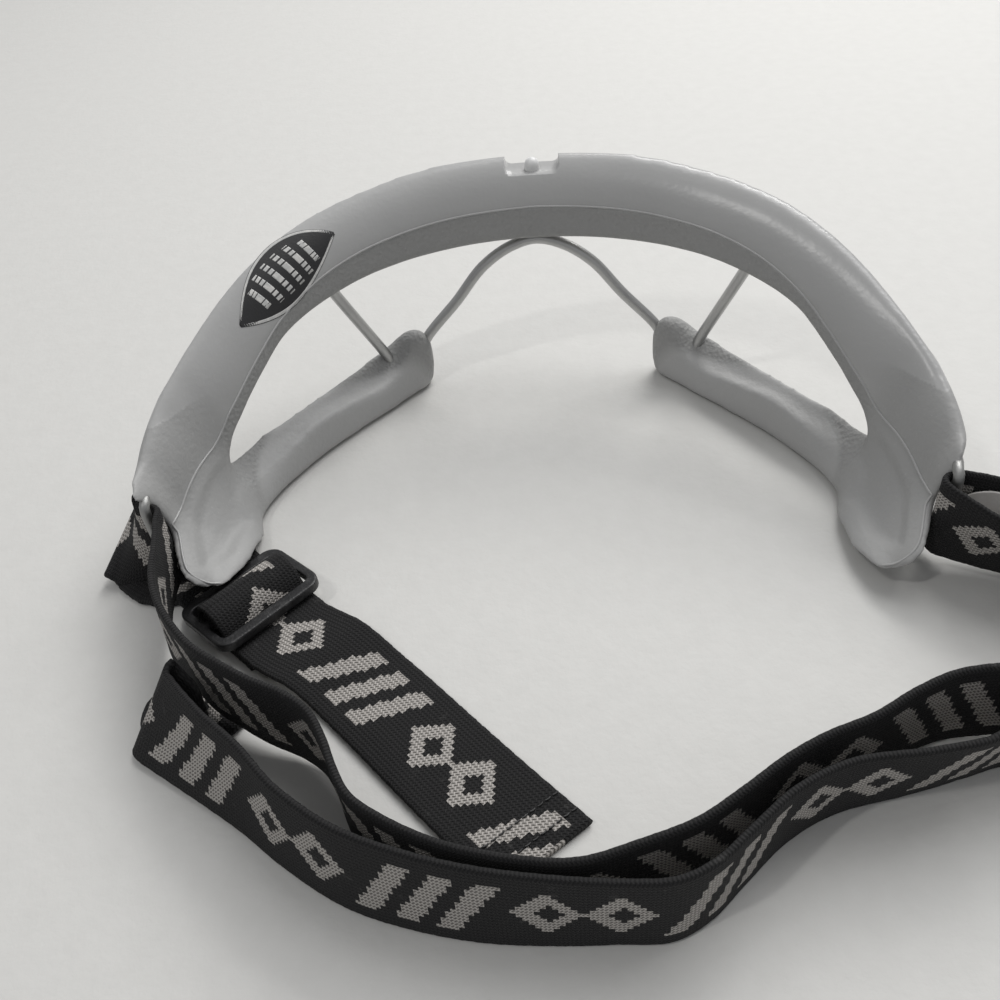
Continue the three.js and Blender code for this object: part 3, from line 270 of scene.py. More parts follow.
def skin(rings, capped=True):
    """Closed mesh through rings with the same number of points."""
    count = len(rings[0])
    points = [p for ring in rings for p in ring]
    faces = []
    for i in range(len(rings) - 1):
        for j in range(count):
            k = (j + 1) % count
            faces.append((i * count + j, i * count + k, (i + 1) * count + k, (i + 1) * count + j))
    if capped:
        faces.append(tuple(reversed(range(count))))
        faces.append(tuple((len(rings) - 1) * count + j for j in range(count)))
    return np.array(points, float), faces


def in_row(point):
    """A point of the design frame, in millimetres, as a place in the scene."""
    return tuple((np.array(point, float) + OFFSET) / 1000)


def new_piece(name, points, faces, merged=False, offset=OFFSET):
    """A mesh object at the origin from points of the design frame, in millimetres."""
    mesh = bpy.data.meshes.new(name)
    mesh.from_pydata([tuple(p) for p in (np.asarray(points) + offset) / 1000], [], faces)
    work = bmesh.new()
    work.from_mesh(mesh)
    if merged:
        bmesh.ops.remove_doubles(work, verts=work.verts, dist=1e-7)
    bmesh.ops.recalc_face_normals(work, faces=work.faces)
    work.to_mesh(mesh)
    work.free()
    mesh.polygons.foreach_set("use_smooth", [True] * len(mesh.polygons))
    return add_object(name, mesh)


def finish_modifiers(piece):
    """Turns what the modifiers make into the piece's own plain mesh."""
    bpy.context.view_layer.update()
    graph = bpy.context.evaluated_depsgraph_get()
    mesh = bpy.data.meshes.new_from_object(piece.evaluated_get(graph))
    piece.modifiers.clear()
    piece.data = mesh


def join_pieces(pieces):
    work = bmesh.new()
    for piece in pieces:
        work.from_mesh(piece.data)
        bpy.data.objects.remove(piece)
    mesh = bpy.data.meshes.new("joined")
    work.to_mesh(mesh)
    work.free()
    return mesh


BROW_STEP = 0.75
END_RINGS = 30
ARM_STEP = 0.012
half_angles = np.arange(0, END_START_ANGLE + BROW_STEP / 4, BROW_STEP)
brow_angles = np.concatenate([-half_angles[:0:-1], half_angles])
end_ways = [math.sin(math.pi / 2 * k / END_RINGS) for k in range(1, END_RINGS + 1)]
rings = [end_section(-1, way) for way in reversed(end_ways)] + [brow_section(a) for a in brow_angles]
rings += [end_section(1, way) for way in end_ways]
parts = [new_piece("brow_skin", *skin(rings, capped=False), merged=True)]
arm_start, arm_end = ARM_SHARES[0][0], ARM_SHARES[-1][0]
arm_stations = np.concatenate(
    [np.arange(arm_start, 0, ARM_STEP / 2), np.arange(0, arm_end, ARM_STEP), [arm_end]])
for side in (-1, 1):
    parts.append(new_piece("arm_skin", *skin([arm_section(side, s) for s in arm_stations])))
moulding = add_object("moulding", join_pieces(parts))
remesh = moulding.modifiers.new("skin", "REMESH")
remesh.mode = "VOXEL"
remesh.voxel_size = MOULD_GRID
remesh.use_smooth_shade = True
finish_modifiers(moulding)


def mesh_places(mesh):
    """Every point of a mesh in the design frame, in millimetres."""
    places = np.empty(len(mesh.vertices) * 3)
    mesh.vertices.foreach_get("co", places)
    return places.reshape(-1, 3) * 1000 - OFFSET


def relax(mesh, rounds, push_back=0.0, weights=1.0):
    """Evens a mesh out; with a push back, thin edges and small bends keep their reach."""
    count = len(mesh.vertices)
    points = np.empty(count * 3)
    mesh.vertices.foreach_get("co", points)
    points = points.reshape(-1, 3)
    pairs = np.empty(len(mesh.edges) * 2, dtype=np.int32)
    mesh.edges.foreach_get("vertices", pairs)
    ends = np.concatenate([pairs[0::2], pairs[1::2]])
    others = np.concatenate([pairs[1::2], pairs[0::2]])
    links = np.bincount(ends, minlength=count)
    weights = np.broadcast_to(weights, count)
    for _ in range(rounds):
        for step in (0.5, -push_back):
            for axis in range(3):
                mean = np.bincount(ends, points[others, axis], count) / links
                points[:, axis] += (mean - points[:, axis]) * step * weights
    mesh.vertices.foreach_set("co", points.ravel())
    mesh.update()


EVEN_ROUNDS = 70
EVEN_PUSH = 0.51
relax(moulding.data, 5)
relax(moulding.data, EVEN_ROUNDS, EVEN_PUSH)

# A soft fillet fills the corner where each cheek arm runs into its temple.
FILLET_CENTRE = (60.5, -51.5, 9)
FILLET_REACH = 15
FILLET_FULL = 7
FILLET_ROUNDS = 70
places = mesh_places(moulding.data)
places[:, 0] = np.abs(places[:, 0])
away = np.linalg.norm(places - FILLET_CENTRE, axis=1)
fillet = np.clip((FILLET_REACH - away) / (FILLET_REACH - FILLET_FULL), 0, 1)
relax(moulding.data, FILLET_ROUNDS, weights=fillet)

# The temple ends are evened out further, then each leaf pad is scooped inside a soft rim.
END_EVEN_ANGLES = (79, 83)
END_SOFT_ROUNDS = 8
END_ROUNDS = 150
END_PUSH = 0.505
ARM_FAR_X = (-64, -58)
ARM_TOP_Z = (-20, -17)
ARM_ROUNDS = 22
RIM_ROUNDS = 14
RIM_DISTANCES = (0.9, 2.8)
SCOOP_DEPTH = 0.75
SCOOP_EDGES = (4.0, 6.8)
SCOOP_ANGLES = (69, 76)
SCOOP_HEIGHTS = (2.5, 5.5)
# Points of a brow section that lie on the parting line and on the foot of the pad.
SEAM_POINT = 18
FOOT_POINT = 34


def around_wrap(points):
    """Angle and inset of points, by the ellipse of the wrap that passes through each."""
    x, y = points[:, 0], points[:, 1] - WRAP_CENTRE_Y
    inset = np.zeros(len(points))
    for _ in range(12):
        a, b = WRAP_HALF_WIDTH - inset, WRAP_DEPTH - inset
        value = (x / a) ** 2 + (y / b) ** 2 - 1
        slope = 2 * x**2 / a**3 + 2 * y**2 / b**3
        inset = np.clip(inset - value / slope, -15, 60)
    angle = np.degrees(np.arctan2(x / (WRAP_HALF_WIDTH - inset), y / (WRAP_DEPTH - inset)))
    return angle, inset


def line_distance(points, line):
    """Distance from each point to the nearest place on a line of points."""
    nearest = np.full(len(points), 1e9)
    for start, end in zip(line[:-1], line[1:]):
        run = end - start
        share = np.clip((points - start) @ run / max(run @ run, 1e-9), 0, 1)
        gap = points - start - share[:, None] * run
        nearest = np.minimum(nearest, np.einsum("ij,ij->i", gap, gap))
    return np.sqrt(nearest)


angles, _ = around_wrap(mesh_places(moulding.data))
at_ends = smooth_between(np.abs(angles), *END_EVEN_ANGLES)
relax(moulding.data, END_SOFT_ROUNDS, weights=at_ends)
relax(moulding.data, END_ROUNDS, END_PUSH, weights=at_ends)
places = mesh_places(moulding.data)
on_arms = smooth_between(-np.abs(places[:, 0]), *ARM_FAR_X) * smooth_between(-places[:, 2], *ARM_TOP_Z)
relax(moulding.data, ARM_ROUNDS, weights=on_arms)

# The outer rim of the brow is worn soft.
KEY_LAST_ANGLE = 91.5
KEY_COUNT = 184
key_angles = np.linspace(0, KEY_LAST_ANGLE, KEY_COUNT)
key_rows = np.array([brow_keys(a).ravel() for a in key_angles])


def keys_at(angle, columns):
    """The brow's key places at each point's angle round the wrap."""
    return np.stack([np.interp(np.abs(angle), key_angles, key_rows[:, k]) for k in columns], axis=1)


places = mesh_places(moulding.data)
angles, insets = around_wrap(places)
rim = keys_at(angles, (0, 1))
off_rim = np.hypot(insets - rim[:, 0], places[:, 2] - rim[:, 1])
relax(moulding.data, RIM_ROUNDS, weights=1 - smooth_between(off_rim, *RIM_DISTANCES))


def seam_measures(points):
    """Angle of points round the wrap, way below the parting line, and way off the band below it."""
    angle, inset = around_wrap(points)
    keys = keys_at(angle, (2, 3, 6, 7))
    offset = np.stack([inset, points[:, 2]], axis=1) - keys[:, :2]
    line = keys[:, 2:] - keys[:, :2]
    line /= np.maximum(np.linalg.norm(line, axis=1, keepdims=True), 0.01)
    off_face = np.abs(offset[:, 0] * line[:, 1] - offset[:, 1] * line[:, 0])
    return angle, np.sum(offset * line, axis=1), off_face


PAD_EDGE_ANGLES = range(83, 71, -1)
FACE_UP_SHARE = 0.6
FACE_IN_BOUNDS = (0.1, 0.5)
edge_lines = {}
for side in (-1, 1):
    line = end_section(side, 1.0)[SEAM_POINT:FOOT_POINT + 1]
    line += [brow_section(side * a)[FOOT_POINT] for a in PAD_EDGE_ANGLES]
    edge_lines[side] = np.array(line)
places = mesh_places(moulding.data)
angles, below_seam, _ = seam_measures(places)
from_left, from_right = (line_distance(places, edge_lines[side]) for side in (-1, 1))
from_edge = np.where(places[:, 0] < 0, from_left, from_right)
normals = np.empty(len(places) * 3)
moulding.data.vertices.foreach_get("normal", normals)
normals = normals.reshape(-1, 3)
turns = np.radians(angles)
faces_in = -normals[:, 0] * np.sin(turns) - normals[:, 1] * np.cos(turns)
faces_in = smooth_between(faces_in + FACE_UP_SHARE * normals[:, 2], *FACE_IN_BOUNDS)
scoop = SCOOP_DEPTH * faces_in * smooth_between(from_edge, *SCOOP_EDGES)
scoop *= smooth_between(np.abs(angles), *SCOOP_ANGLES) * smooth_between(below_seam, *SCOOP_HEIGHTS)
places = places - normals * scoop[:, None]
moulding.data.vertices.foreach_set("co", ((places + OFFSET) / 1000).ravel())
moulding.data.update()
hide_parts("frame_moulding")
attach(moulding, "goggles")

# The notch at the middle of the brow is cut last, so that its corners stay crisp.
NOTCH_WIDTH = 11.7
NOTCH_DEPTH = 3.2
NOTCH_CORNER = 1.6
NOTCH_RUN = 14


def cut_away(piece, cutter):
    knife = piece.modifiers.new("cut", "BOOLEAN")
    knife.operation = "DIFFERENCE"
    knife.solver = "EXACT"
    knife.object = cutter
    finish_modifiers(piece)
    bpy.data.objects.remove(cutter)


def arc(centre, radius, start, end, steps):
    turns = [math.radians(start + (end - start) * k / steps) for k in range(steps + 1)]
    return [(centre[0] + radius * math.cos(t), centre[1] + radius * math.sin(t)) for t in turns]


notch_half = NOTCH_WIDTH / 2
notch_floor = FRAME_HEIGHT - NOTCH_DEPTH
outline = [(-notch_half, FRAME_HEIGHT + NOTCH_DEPTH)]
outline += arc((-notch_half + NOTCH_CORNER, notch_floor + NOTCH_CORNER), NOTCH_CORNER, 180, 270, 8)
outline += arc((notch_half - NOTCH_CORNER, notch_floor + NOTCH_CORNER), NOTCH_CORNER, 270, 360, 8)
outline += [(notch_half, FRAME_HEIGHT + NOTCH_DEPTH)]
cutter = new_piece("notch", *skin([[(x, y, z) for x, z in outline] for y in (-NOTCH_RUN, NOTCH_RUN)]))
cut_away(moulding, cutter)


def math_node(operation, reflected=False):
    """A method that adds the Math node of an operation, with its values in turn."""
    def method(value, *others):
        values = (*others, value) if reflected else (value, *others)
        return value.finish.node("ShaderNodeMath", {"operation": operation}, dict(enumerate(values)))
    return method


class Value:
    """A socket of a finish that takes part in sums."""

    def __init__(self, finish, socket):
        self.finish = finish
        self.socket = socket

    __add__ = math_node("ADD")
    __radd__ = math_node("ADD", reflected=True)
    __sub__ = math_node("SUBTRACT")
    __rsub__ = math_node("SUBTRACT", reflected=True)
    __mul__ = math_node("MULTIPLY")
    __rmul__ = math_node("MULTIPLY", reflected=True)
    __truediv__ = math_node("DIVIDE")
    __rtruediv__ = math_node("DIVIDE", reflected=True)
    above = math_node("GREATER_THAN")
    below = math_node("LESS_THAN")
    wave = math_node("SINE")
    size = math_node("ABSOLUTE")
    remainder = math_node("FLOORED_MODULO")
    stepped = math_node("SNAP")
    least = math_node("MINIMUM")
    most = math_node("MAXIMUM")

    def clear(self, low, high):
        """Smooth step from 0 at low to 1 at high."""
        values = {"Value": self, "From Min": low, "From Max": high}
        return self.finish.node("ShaderNodeMapRange", {"interpolation_type": "SMOOTHSTEP"}, values)


class Finish:
    """A procedural material built on one shader."""

    def __init__(self, name, metallic=0.0):
        self.material = bpy.data.materials.new(name)
        self.material.use_nodes = True
        self.tree = self.material.node_tree
        self.tree.nodes.clear()
        self.shader = self.tree.nodes.new("ShaderNodeBsdfPrincipled")
        self.shader.inputs["Metallic"].default_value = metallic
        end = self.tree.nodes.new("ShaderNodeOutputMaterial")
        self.tree.links.new(self.shader.outputs[0], end.inputs["Surface"])
        self.place = self.node("ShaderNodeTexCoord", output="Object")

    def node(self, kind, settings=None, values=None, output=0):
        made = self.tree.nodes.new(kind)
        for key, setting in (settings or {}).items():
            setattr(made, key, setting)
        for key, value in (values or {}).items():
            if isinstance(value, Value):
                self.tree.links.new(value.socket, made.inputs[key])
            else:
                made.inputs[key].default_value = value
        return Value(self, made.outputs[output])

    def attribute(self, name):
        return self.node("ShaderNodeAttribute", {"attribute_name": name}, output="Fac")

    def noise(self, scale, detail=2.0, roughness=0.5, stretch=(1, 1, 1)):
        place = self.place
        if stretch != (1, 1, 1):
            place = self.node("ShaderNodeMapping", {}, {"Vector": place, "Scale": stretch})
        values = {"Vector": place, "Scale": scale, "Detail": detail, "Roughness": roughness}
        return self.node("ShaderNodeTexNoise", {}, values)

    def cells(self, scale):
        return self.node("ShaderNodeTexVoronoi", {}, {"Vector": self.place, "Scale": scale})

    def blend(self, factor, first, second):
        settings = {"data_type": "RGBA"}
        colours = [c if isinstance(c, Value) else (*c, 1) for c in (first, second)]
        return self.node("ShaderNodeMix", settings, {0: factor, 6: colours[0], 7: colours[1]}, 2)

    def bump(self, height, distance, strength=1.0):
        values = {"Height": height, "Distance": distance, "Strength": strength}
        return self.node("ShaderNodeBump", {}, values)

    def paint(self, **links):
        for key, value in links.items():
            name = key.replace("_", " ").title()
            if isinstance(value, Value):
                self.tree.links.new(value.socket, self.shader.inputs[name])
            else:
                self.shader.inputs[name].default_value = value

    def two_tone(self, spots, first, second, **links):
        self.paint(base_color=self.blend(spots, first, second), **links)

    def coat(self, piece):
        piece.data.materials.clear()
        piece.data.materials.append(self.material)


# Three masks on the moulding, for its material: the grained band below the parting line, the leaf pads
# and the arms.
BAND_FADE = 0.5
BAND_DEPTH = 4.5
BAND_DEPTH_FADE = 1.5
BAND_LAST_ANGLE = 100
BAND_LAST_Y = 20
LEAF_ANGLES = (67, 74)
LEAF_TOP_Z = 30
ARM_INNER_DEPTHS = (-10, -8)
ARM_OUTER_DEPTHS = (-12, -10)
ARM_TOP = 18
ARM_RUNS = (-50, -42)


def set_attribute(mesh, name, values):
    attribute = mesh.attributes.new(name, "FLOAT", "POINT")
    attribute.data.foreach_set("value", np.asarray(values, dtype=np.float32))


places = mesh_places(moulding.data)
angles, below_seam, off_face = seam_measures(places)
on_band = np.clip(below_seam / BAND_FADE, 0, 1) * np.clip((BAND_DEPTH - off_face) / BAND_DEPTH_FADE, 0, 1)
on_band *= (np.abs(angles) < BAND_LAST_ANGLE) * (places[:, 1] < BAND_LAST_Y)
set_attribute(moulding.data, "band", on_band)
on_leaf = smooth_between(np.abs(angles), *LEAF_ANGLES) * (places[:, 2] < LEAF_TOP_Z)
set_attribute(moulding.data, "leaf", on_leaf)
from_start = (np.abs(places[:, 0]) - ARM_START[0], places[:, 1] - ARM_START[1])
arm_run = from_start[0] * math.cos(ARM_TURN) - from_start[1] * math.sin(ARM_TURN)
arm_depth = from_start[0] * math.sin(ARM_TURN) + from_start[1] * math.cos(ARM_TURN)
on_arm = smooth_between(arm_depth, *ARM_INNER_DEPTHS) * smooth_between(-arm_depth, *ARM_OUTER_DEPTHS)
on_arm *= (places[:, 2] < ARM_TOP) * smooth_between(-arm_run, *ARM_RUNS)
set_attribute(moulding.data, "arm", on_arm)

silicone = Finish("grey_silicone")
arm = silicone.attribute("arm")
band = silicone.attribute("band")
leaf = silicone.attribute("leaf")
clouds = silicone.noise(55, 3)
specks = silicone.noise(900, 2)
grain = silicone.cells(1150)
leather = band * (1 - leaf)
matte = leather.most(leaf * 0.7).most(arm * 0.8)
base = silicone.blend(clouds, (0.365, 0.365, 0.362), (0.425, 0.424, 0.42))
# The grained band below the parting line is painted darker: partly its own duller tone, partly painted
# shade where it faces down, away from the light from above.
base = silicone.blend(leather * 0.6, base, (0.235, 0.235, 0.23))
# The leaf pads are painted darker: this is painted shade, standing in for the weaker light that falls on
# them.
base = silicone.blend(leaf * 0.45, base, (0.25, 0.25, 0.246))
dust = silicone.noise(2400, 2)
base = silicone.blend(dust.clear(0.66, 0.8) * 0.25, base, (0.62, 0.61, 0.6))
height = grain * leather * 0.85 + specks * 0.2 + specks * matte * 0.5
silicone.paint(
    base_color=base,
    roughness=matte * 0.36 + clouds * 0.06 + 0.26,
    normal=silicone.bump(height, 0.00022),
)
silicone.coat(moulding)

# Face cage and strap bails: the cage is one length of satin stainless wire and each bail a loop of
# duller wire, all bent cold and held at both ends in the silicone, which is moulded round them.
CAGE_WIRE_RADIUS = 1.25
BAIL_WIRE_RADIUS = 1.0
CAGE_REACH_X = 47.6
CAGE_REACH_Z = 43
BAIL_X = 75.5
BAIL_Y = -71.7
BAIL_LOW_Z = 2.9
BAIL_HIGH_Z = 22.8
BAIL_CORNER = 1.2
WIRE_STEP = 0.8
CAGE_SHARES = [
    (1.0, -0.2372, 1.0), (0.968, -0.206, 0.84), (0.786, -0.1205, 0.288), (0.755, -0.11, 0.19),
    (0.7, -0.091, 0.15), (0.633, -0.067, 0.19), (0.578, -0.0487, 0.293), (0.41, -0.036, 0.5),
    (0.265, -0.0218, 0.69), (0.13, -0.0077, 0.785), (0, 0, 0.819),
]
LOW_LEG_SHARES = [(0.927, 0.84, 0.31), (0.94, 0.882, 0.265), (0.978, 0.942, 0.157)]
HIGH_LEG_SHARES = [(1.01, 0.94, 0.992), (1.01, 0.885, 0.955), (1.0, 0.84, 0.92)]


def smooth_route(points, step):
    """Points along a centripetal curve through the given ones, and the position of each along the list."""
    points = np.array(points, float)
    padded = np.vstack([2 * points[0] - points[1], points, 2 * points[-1] - points[-2]])
    result, marks = [], []
    for i in range(len(points) - 1):
        p = padded[i:i + 4]
        gaps = np.maximum(np.linalg.norm(np.diff(p, axis=0), axis=1) ** 0.5, 1e-4)
        slopes = []
        for k in (1, 2):
            chord = (p[k + 1] - p[k - 1]) / (gaps[k - 1] + gaps[k])
            slopes.append(gaps[1] * ((p[k] - p[k - 1]) / gaps[k - 1] - chord + (p[k + 1] - p[k]) / gaps[k]))
        pieces = max(1, round(float(np.linalg.norm(p[2] - p[1])) / step))
        for k in range(pieces):
            result.append(cubic(k / pieces, p[1], slopes[0], p[2], slopes[1]))
            marks.append(i + k / pieces)
    return np.array(result + [points[-1]]), np.array(marks + [len(points) - 1])


def ways_along(line):
    ahead = np.gradient(line, axis=0)
    return ahead / np.linalg.norm(ahead, axis=1, keepdims=True)


def wire_piece(name, points, radius, sides=16):
    line, _ = smooth_route(points, WIRE_STEP)
    ahead = ways_along(line)
    across = np.cross(ahead[0], (0, 0, 1))
    rings = []
    for point, way in zip(line, ahead):
        across = across - way * np.dot(across, way)
        across /= np.linalg.norm(across)
        up = np.cross(way, across)
        turns = np.arange(sides) * 2 * math.pi / sides
        rings.append([point + radius * (math.cos(t) * across + math.sin(t) * up) for t in turns])
    return new_piece(name, *skin(rings))


steel = Finish("satin_steel", metallic=1.0)
lines = steel.noise(1400, 3, stretch=(1, 1, 0.15))
stain = steel.noise(90, 2)
steel.two_tone(stain, (0.4, 0.4, 0.4), (0.55, 0.55, 0.54),
               roughness=lines * 0.2 + 0.3, normal=steel.bump(lines, 0.00004))
dull_steel = Finish("dull_steel", metallic=1.0)
haze = dull_steel.noise(260, 3)
dull_steel.two_tone(haze, (0.26, 0.26, 0.26), (0.4, 0.4, 0.39),
                    roughness=haze * 0.2 + 0.42, normal=dull_steel.bump(dull_steel.noise(2200, 2), 0.00004))
half_cage = [np.array(row) * (CAGE_REACH_X, WRAP_DEPTH, CAGE_REACH_Z) for row in CAGE_SHARES]
route = [p * (-1, 1, 1) for p in half_cage] + half_cage[-2::-1]
wires = [(wire_piece("cage_wire_steel", route, CAGE_WIRE_RADIUS), "cage_wire")]
slack = BAIL_CORNER * (1 - math.sqrt(0.5))
bars = [
    (BAIL_CORNER, BAIL_LOW_Z), (slack, BAIL_LOW_Z + slack), (0, BAIL_LOW_Z + BAIL_CORNER),
    (0, (BAIL_LOW_Z + BAIL_HIGH_Z) / 2), (0, BAIL_HIGH_Z - BAIL_CORNER), (slack, BAIL_HIGH_Z - slack),
    (BAIL_CORNER, BAIL_HIGH_Z),
]
for side, name in ((-1, "left"), (1, "right")):
    legs = [[(side * r[0] * BAIL_X, r[1] * WRAP_CENTRE_Y, r[2] * BAIL_HIGH_Z) for r in rows]
            for rows in (LOW_LEG_SHARES, HIGH_LEG_SHARES)]
    route = legs[0] + [(side * BAIL_X, BAIL_Y + y, z) for y, z in bars] + legs[1]
    wires.append((wire_piece(f"bail_steel_{name}", route, BAIL_WIRE_RADIUS), f"strap_bail_{name}"))
for wire, node in wires:
    (steel if node == "cage_wire" else dull_steel).coat(wire)
    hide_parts(node)
    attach(wire, "goggles")

# Parting bead: a fine ridge of the same silicone where the mould halves met, round the brow and down
# the rim of each leaf pad.
BEAD_RADIUS = 0.24
BEAD_RIM_WAY = 0.9
BEAD_LAST_POINT = 28
BEAD_SPACING = 3


def on_moulding(point):
    return np.array(moulding.closest_point_on_mesh(in_row(point))[1]) * 1000 - OFFSET


rim_ways = [way for way in end_ways if way < BEAD_RIM_WAY]
bead_points = end_section(-1, BEAD_RIM_WAY)[BEAD_LAST_POINT:SEAM_POINT - 1:-1]
bead_points += [end_section(-1, way)[SEAM_POINT] for way in reversed(rim_ways)]
bead_points += [brow_section(a)[SEAM_POINT] for a in brow_angles]
bead_points += [end_section(1, way)[SEAM_POINT] for way in rim_ways]
bead_points += end_section(1, BEAD_RIM_WAY)[SEAM_POINT:BEAD_LAST_POINT + 1]
bead_route = [on_moulding(point) for point in bead_points[::BEAD_SPACING]]
bead = wire_piece("parting_bead", bead_route, BEAD_RADIUS, sides=8)
silicone.coat(bead)
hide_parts("frame_moulding")
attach(bead, "goggles")

# Badge: a black rubber inlay on the left brow, with a thin raised rim and a plain pattern of raised
# slanted bars. It follows the upper surface of the brow and sits in a shallow pocket.
BADGE_LENGTH = 27
BADGE_WIDTH = 12
BADGE_TIP = 0.6
BADGE_ANGLE = -46.8
BADGE_RAISE = 0.45
BADGE_MIDDLE_SHARE = 0.53
BADGE_ARC_SHARE = 0.888
BADGE_SEAT = 0.35
BADGE_DEPTH = 0.5
RIM_WIDTH = 0.55
RIM_RISE = 0.3
BAR_RISE = 0.3
BAR_LEAN = 0.32
BADGE_EDGE_SHARE = 0.985
RIM_INSET = 0.1
RIM_WIDTH_SHARE = 0.9
# Places across a bar, and the share of its rise at each.
BAR_PLACES = (-0.65, -0.45, 0, 0.45, 0.65)
BAR_RISE_SHARES = (0, 1, 1, 1, 0)
# Rows: place across the rim as a share of its width, and the share of its rise there.
RIM_SHARES = [(0, 0), (0.2, 0.8), (0.5, 1), (0.8, 0.8), (1, 0)]
# Place of each bar along the badge, and how far it reaches to both sides of the middle.
BADGE_BARS = [(-7.0, 2.6), (-4.2, 3.8), (-1.4, 4.2), (1.4, 4.2), (4.2, 3.8), (7.0, 2.6)]


def upper_point(angle, share, lift):
    def at(a, s):
        top, seam = brow_keys(a)[:2]
        return np.array(wrap_point(a, *bend(top, top_control(top, seam), seam, s)))

    step = 0.01
    along = at(angle + step, share) - at(angle - step, share)
    across = at(angle, share + step) - at(angle, share - step)
    normal = np.cross(along, across)
    return at(angle, share) + normal / np.linalg.norm(normal) * lift


def badge_point(u, v, lift):
    """Point of the badge: u along it and v across it in millimetres, lift off the brow's surface."""
    angle = BADGE_ANGLE + u / (WRAP_HALF_WIDTH * math.radians(1) * BADGE_ARC_SHARE)
    top, seam = brow_keys(angle)[:2]
    return upper_point(angle, BADGE_MIDDLE_SHARE + v / np.linalg.norm(seam - top), lift)


def badge_half(u):
    return BADGE_WIDTH / 2 * (1 - (2 * u / BADGE_LENGTH) ** 2) + BADGE_TIP / 2


def raised_strip(name, middles, lifts):
    """A closed strip on the badge through rows of (u, v) pairs, one row across it for each station."""
    rings = []
    for row in middles:
        upper = [badge_point(u, v, lift) for (u, v), lift in zip(row, lifts)]
        lower = [badge_point(u, v, BADGE_RAISE - BADGE_DEPTH) for u, v in reversed(row)]
        rings.append(upper + lower)
    return new_piece(name, *skin(rings))


stations = np.linspace(-BADGE_LENGTH / 2, BADGE_LENGTH / 2, 61)
lifts = [BADGE_RAISE - BADGE_SEAT] + [BADGE_RAISE] * 11 + [BADGE_RAISE - BADGE_SEAT]
across = np.concatenate([[-1], np.linspace(-BADGE_EDGE_SHARE, BADGE_EDGE_SHARE, 11), [1]])
rows = [[(u, v * badge_half(u)) for v in across] for u in stations]
badge = raised_strip("badge_inlay", rows, lifts)
rims = []
for side in (-1, 1):
    rows = []
    for u in stations[1:-1]:
        outer = badge_half(u) - RIM_INSET
        width = min(RIM_WIDTH, outer * RIM_WIDTH_SHARE)
        rows.append([(u, side * (outer - width * s)) for s, _ in RIM_SHARES])
    lifts = [BADGE_RAISE + RIM_RISE * share for _, share in RIM_SHARES]
    rims.append(raised_strip("rim", rows, lifts))
for middle, reach in BADGE_BARS:
    rows = [[(middle + v * BAR_LEAN + w, v) for w in BAR_PLACES] for v in np.linspace(-reach, reach, 9)]
    lifts = [BADGE_RAISE + BAR_RISE * share for share in BAR_RISE_SHARES]
    rims.append(raised_strip("bar", rows, lifts))
badge_trim = add_object("badge_trim", join_pieces(rims))
badge_trim.data.polygons.foreach_set("use_smooth", [True] * len(badge_trim.data.polygons))
black_rubber = Finish("black_rubber")
dimple = black_rubber.noise(2600, 3)
shade = black_rubber.noise(200)
black_rubber.two_tone(shade, (0.012, 0.012, 0.013), (0.022, 0.022, 0.023),
                      roughness=dimple * 0.2 + 0.42, normal=black_rubber.bump(dimple, 0.00005))
pale_rubber = Finish("pale_rubber")
wear = pale_rubber.noise(700, 3)
pale_rubber.two_tone(wear.clear(0.42, 0.62), (0.5, 0.5, 0.49), (0.62, 0.61, 0.59),
                     roughness=wear * 0.2 + 0.4)
black_rubber.coat(badge)
pale_rubber.coat(badge_trim)
for piece in (badge, badge_trim):
    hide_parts("badge_plate")
    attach(piece, "goggles")

# Plug: a small dome of pale rubber, moulded by itself and pushed into the floor of the notch, so that
# its foot lies hidden in the silicone.
PLUG_RADIUS = 1.6
PLUG_HEIGHT = 2.6
PLUG_Y = 1.2
# Rows: height as a share of PLUG_HEIGHT, radius as a share of PLUG_RADIUS.
PLUG_SHARES = [
    (-0.3, 0.9), (-0.3, 1.0), (0.05, 1.0), (0.3, 1.0), (0.5, 0.97), (0.66, 0.88), (0.8, 0.73), (0.91, 0.5),
    (0.98, 0.25), (1.0, 0.06),
]
turns = np.arange(32) * 2 * math.pi / 32
rings = []
for height, radius in PLUG_SHARES:
    z = notch_floor + height * PLUG_HEIGHT
    reach = PLUG_RADIUS * radius
    rings.append([(reach * math.cos(t), PLUG_Y + reach * math.sin(t), z) for t in turns])
plug = new_piece("centre_plug_dome", *skin(rings))
plug_rubber = Finish("plug_rubber")
haze = plug_rubber.noise(900, 2)
plug_rubber.two_tone(haze, (0.62, 0.62, 0.62), (0.78, 0.78, 0.77),
                     roughness=haze * 0.2 + 0.28, normal=plug_rubber.bump(haze, 0.00004))
plug_rubber.coat(plug)
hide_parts("centre_plug")
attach(plug, "goggles")

# Strap: one length of black knitted elastic, 19 mm wide, with a pale pattern knitted into both faces.
# It starts at the sewn end round the slider's middle bar, runs under the left bail and round it, along
# the table, round the right bail and back; the free end is threaded over the slider's middle bar.
STRAP_WIDTH = 19
STRAP_THICKNESS = 1.4
STRAP_REACH = 100
PINCH_SHARE = 0.095
PINCH_REACH = 9
FLOOR_GAP = 0.2
FLAT = STRAP_THICKNESS / 2 + FLOOR_GAP
SLIDER_PLACE = np.array((-57.8, -79.0))
SLIDER_HEADING = math.radians(-42.7)
SLIDER_Z = 4.05
SLIDER_PITCH = 7.5
LOOP_RADIUS = 2.15
LOOP_TAB = 12
LOOP_TAB_SHARES = (1, 0.6, 0.38)
LOOP_RISE_SHARES = (0.18, 0.15)
LOOP_WRAP = 250
LOOP_STEP = 25
TAIL_RUN = 66
TAIL_SKEW = math.radians(-8.5)
TAIL_DRIFT = 2.2
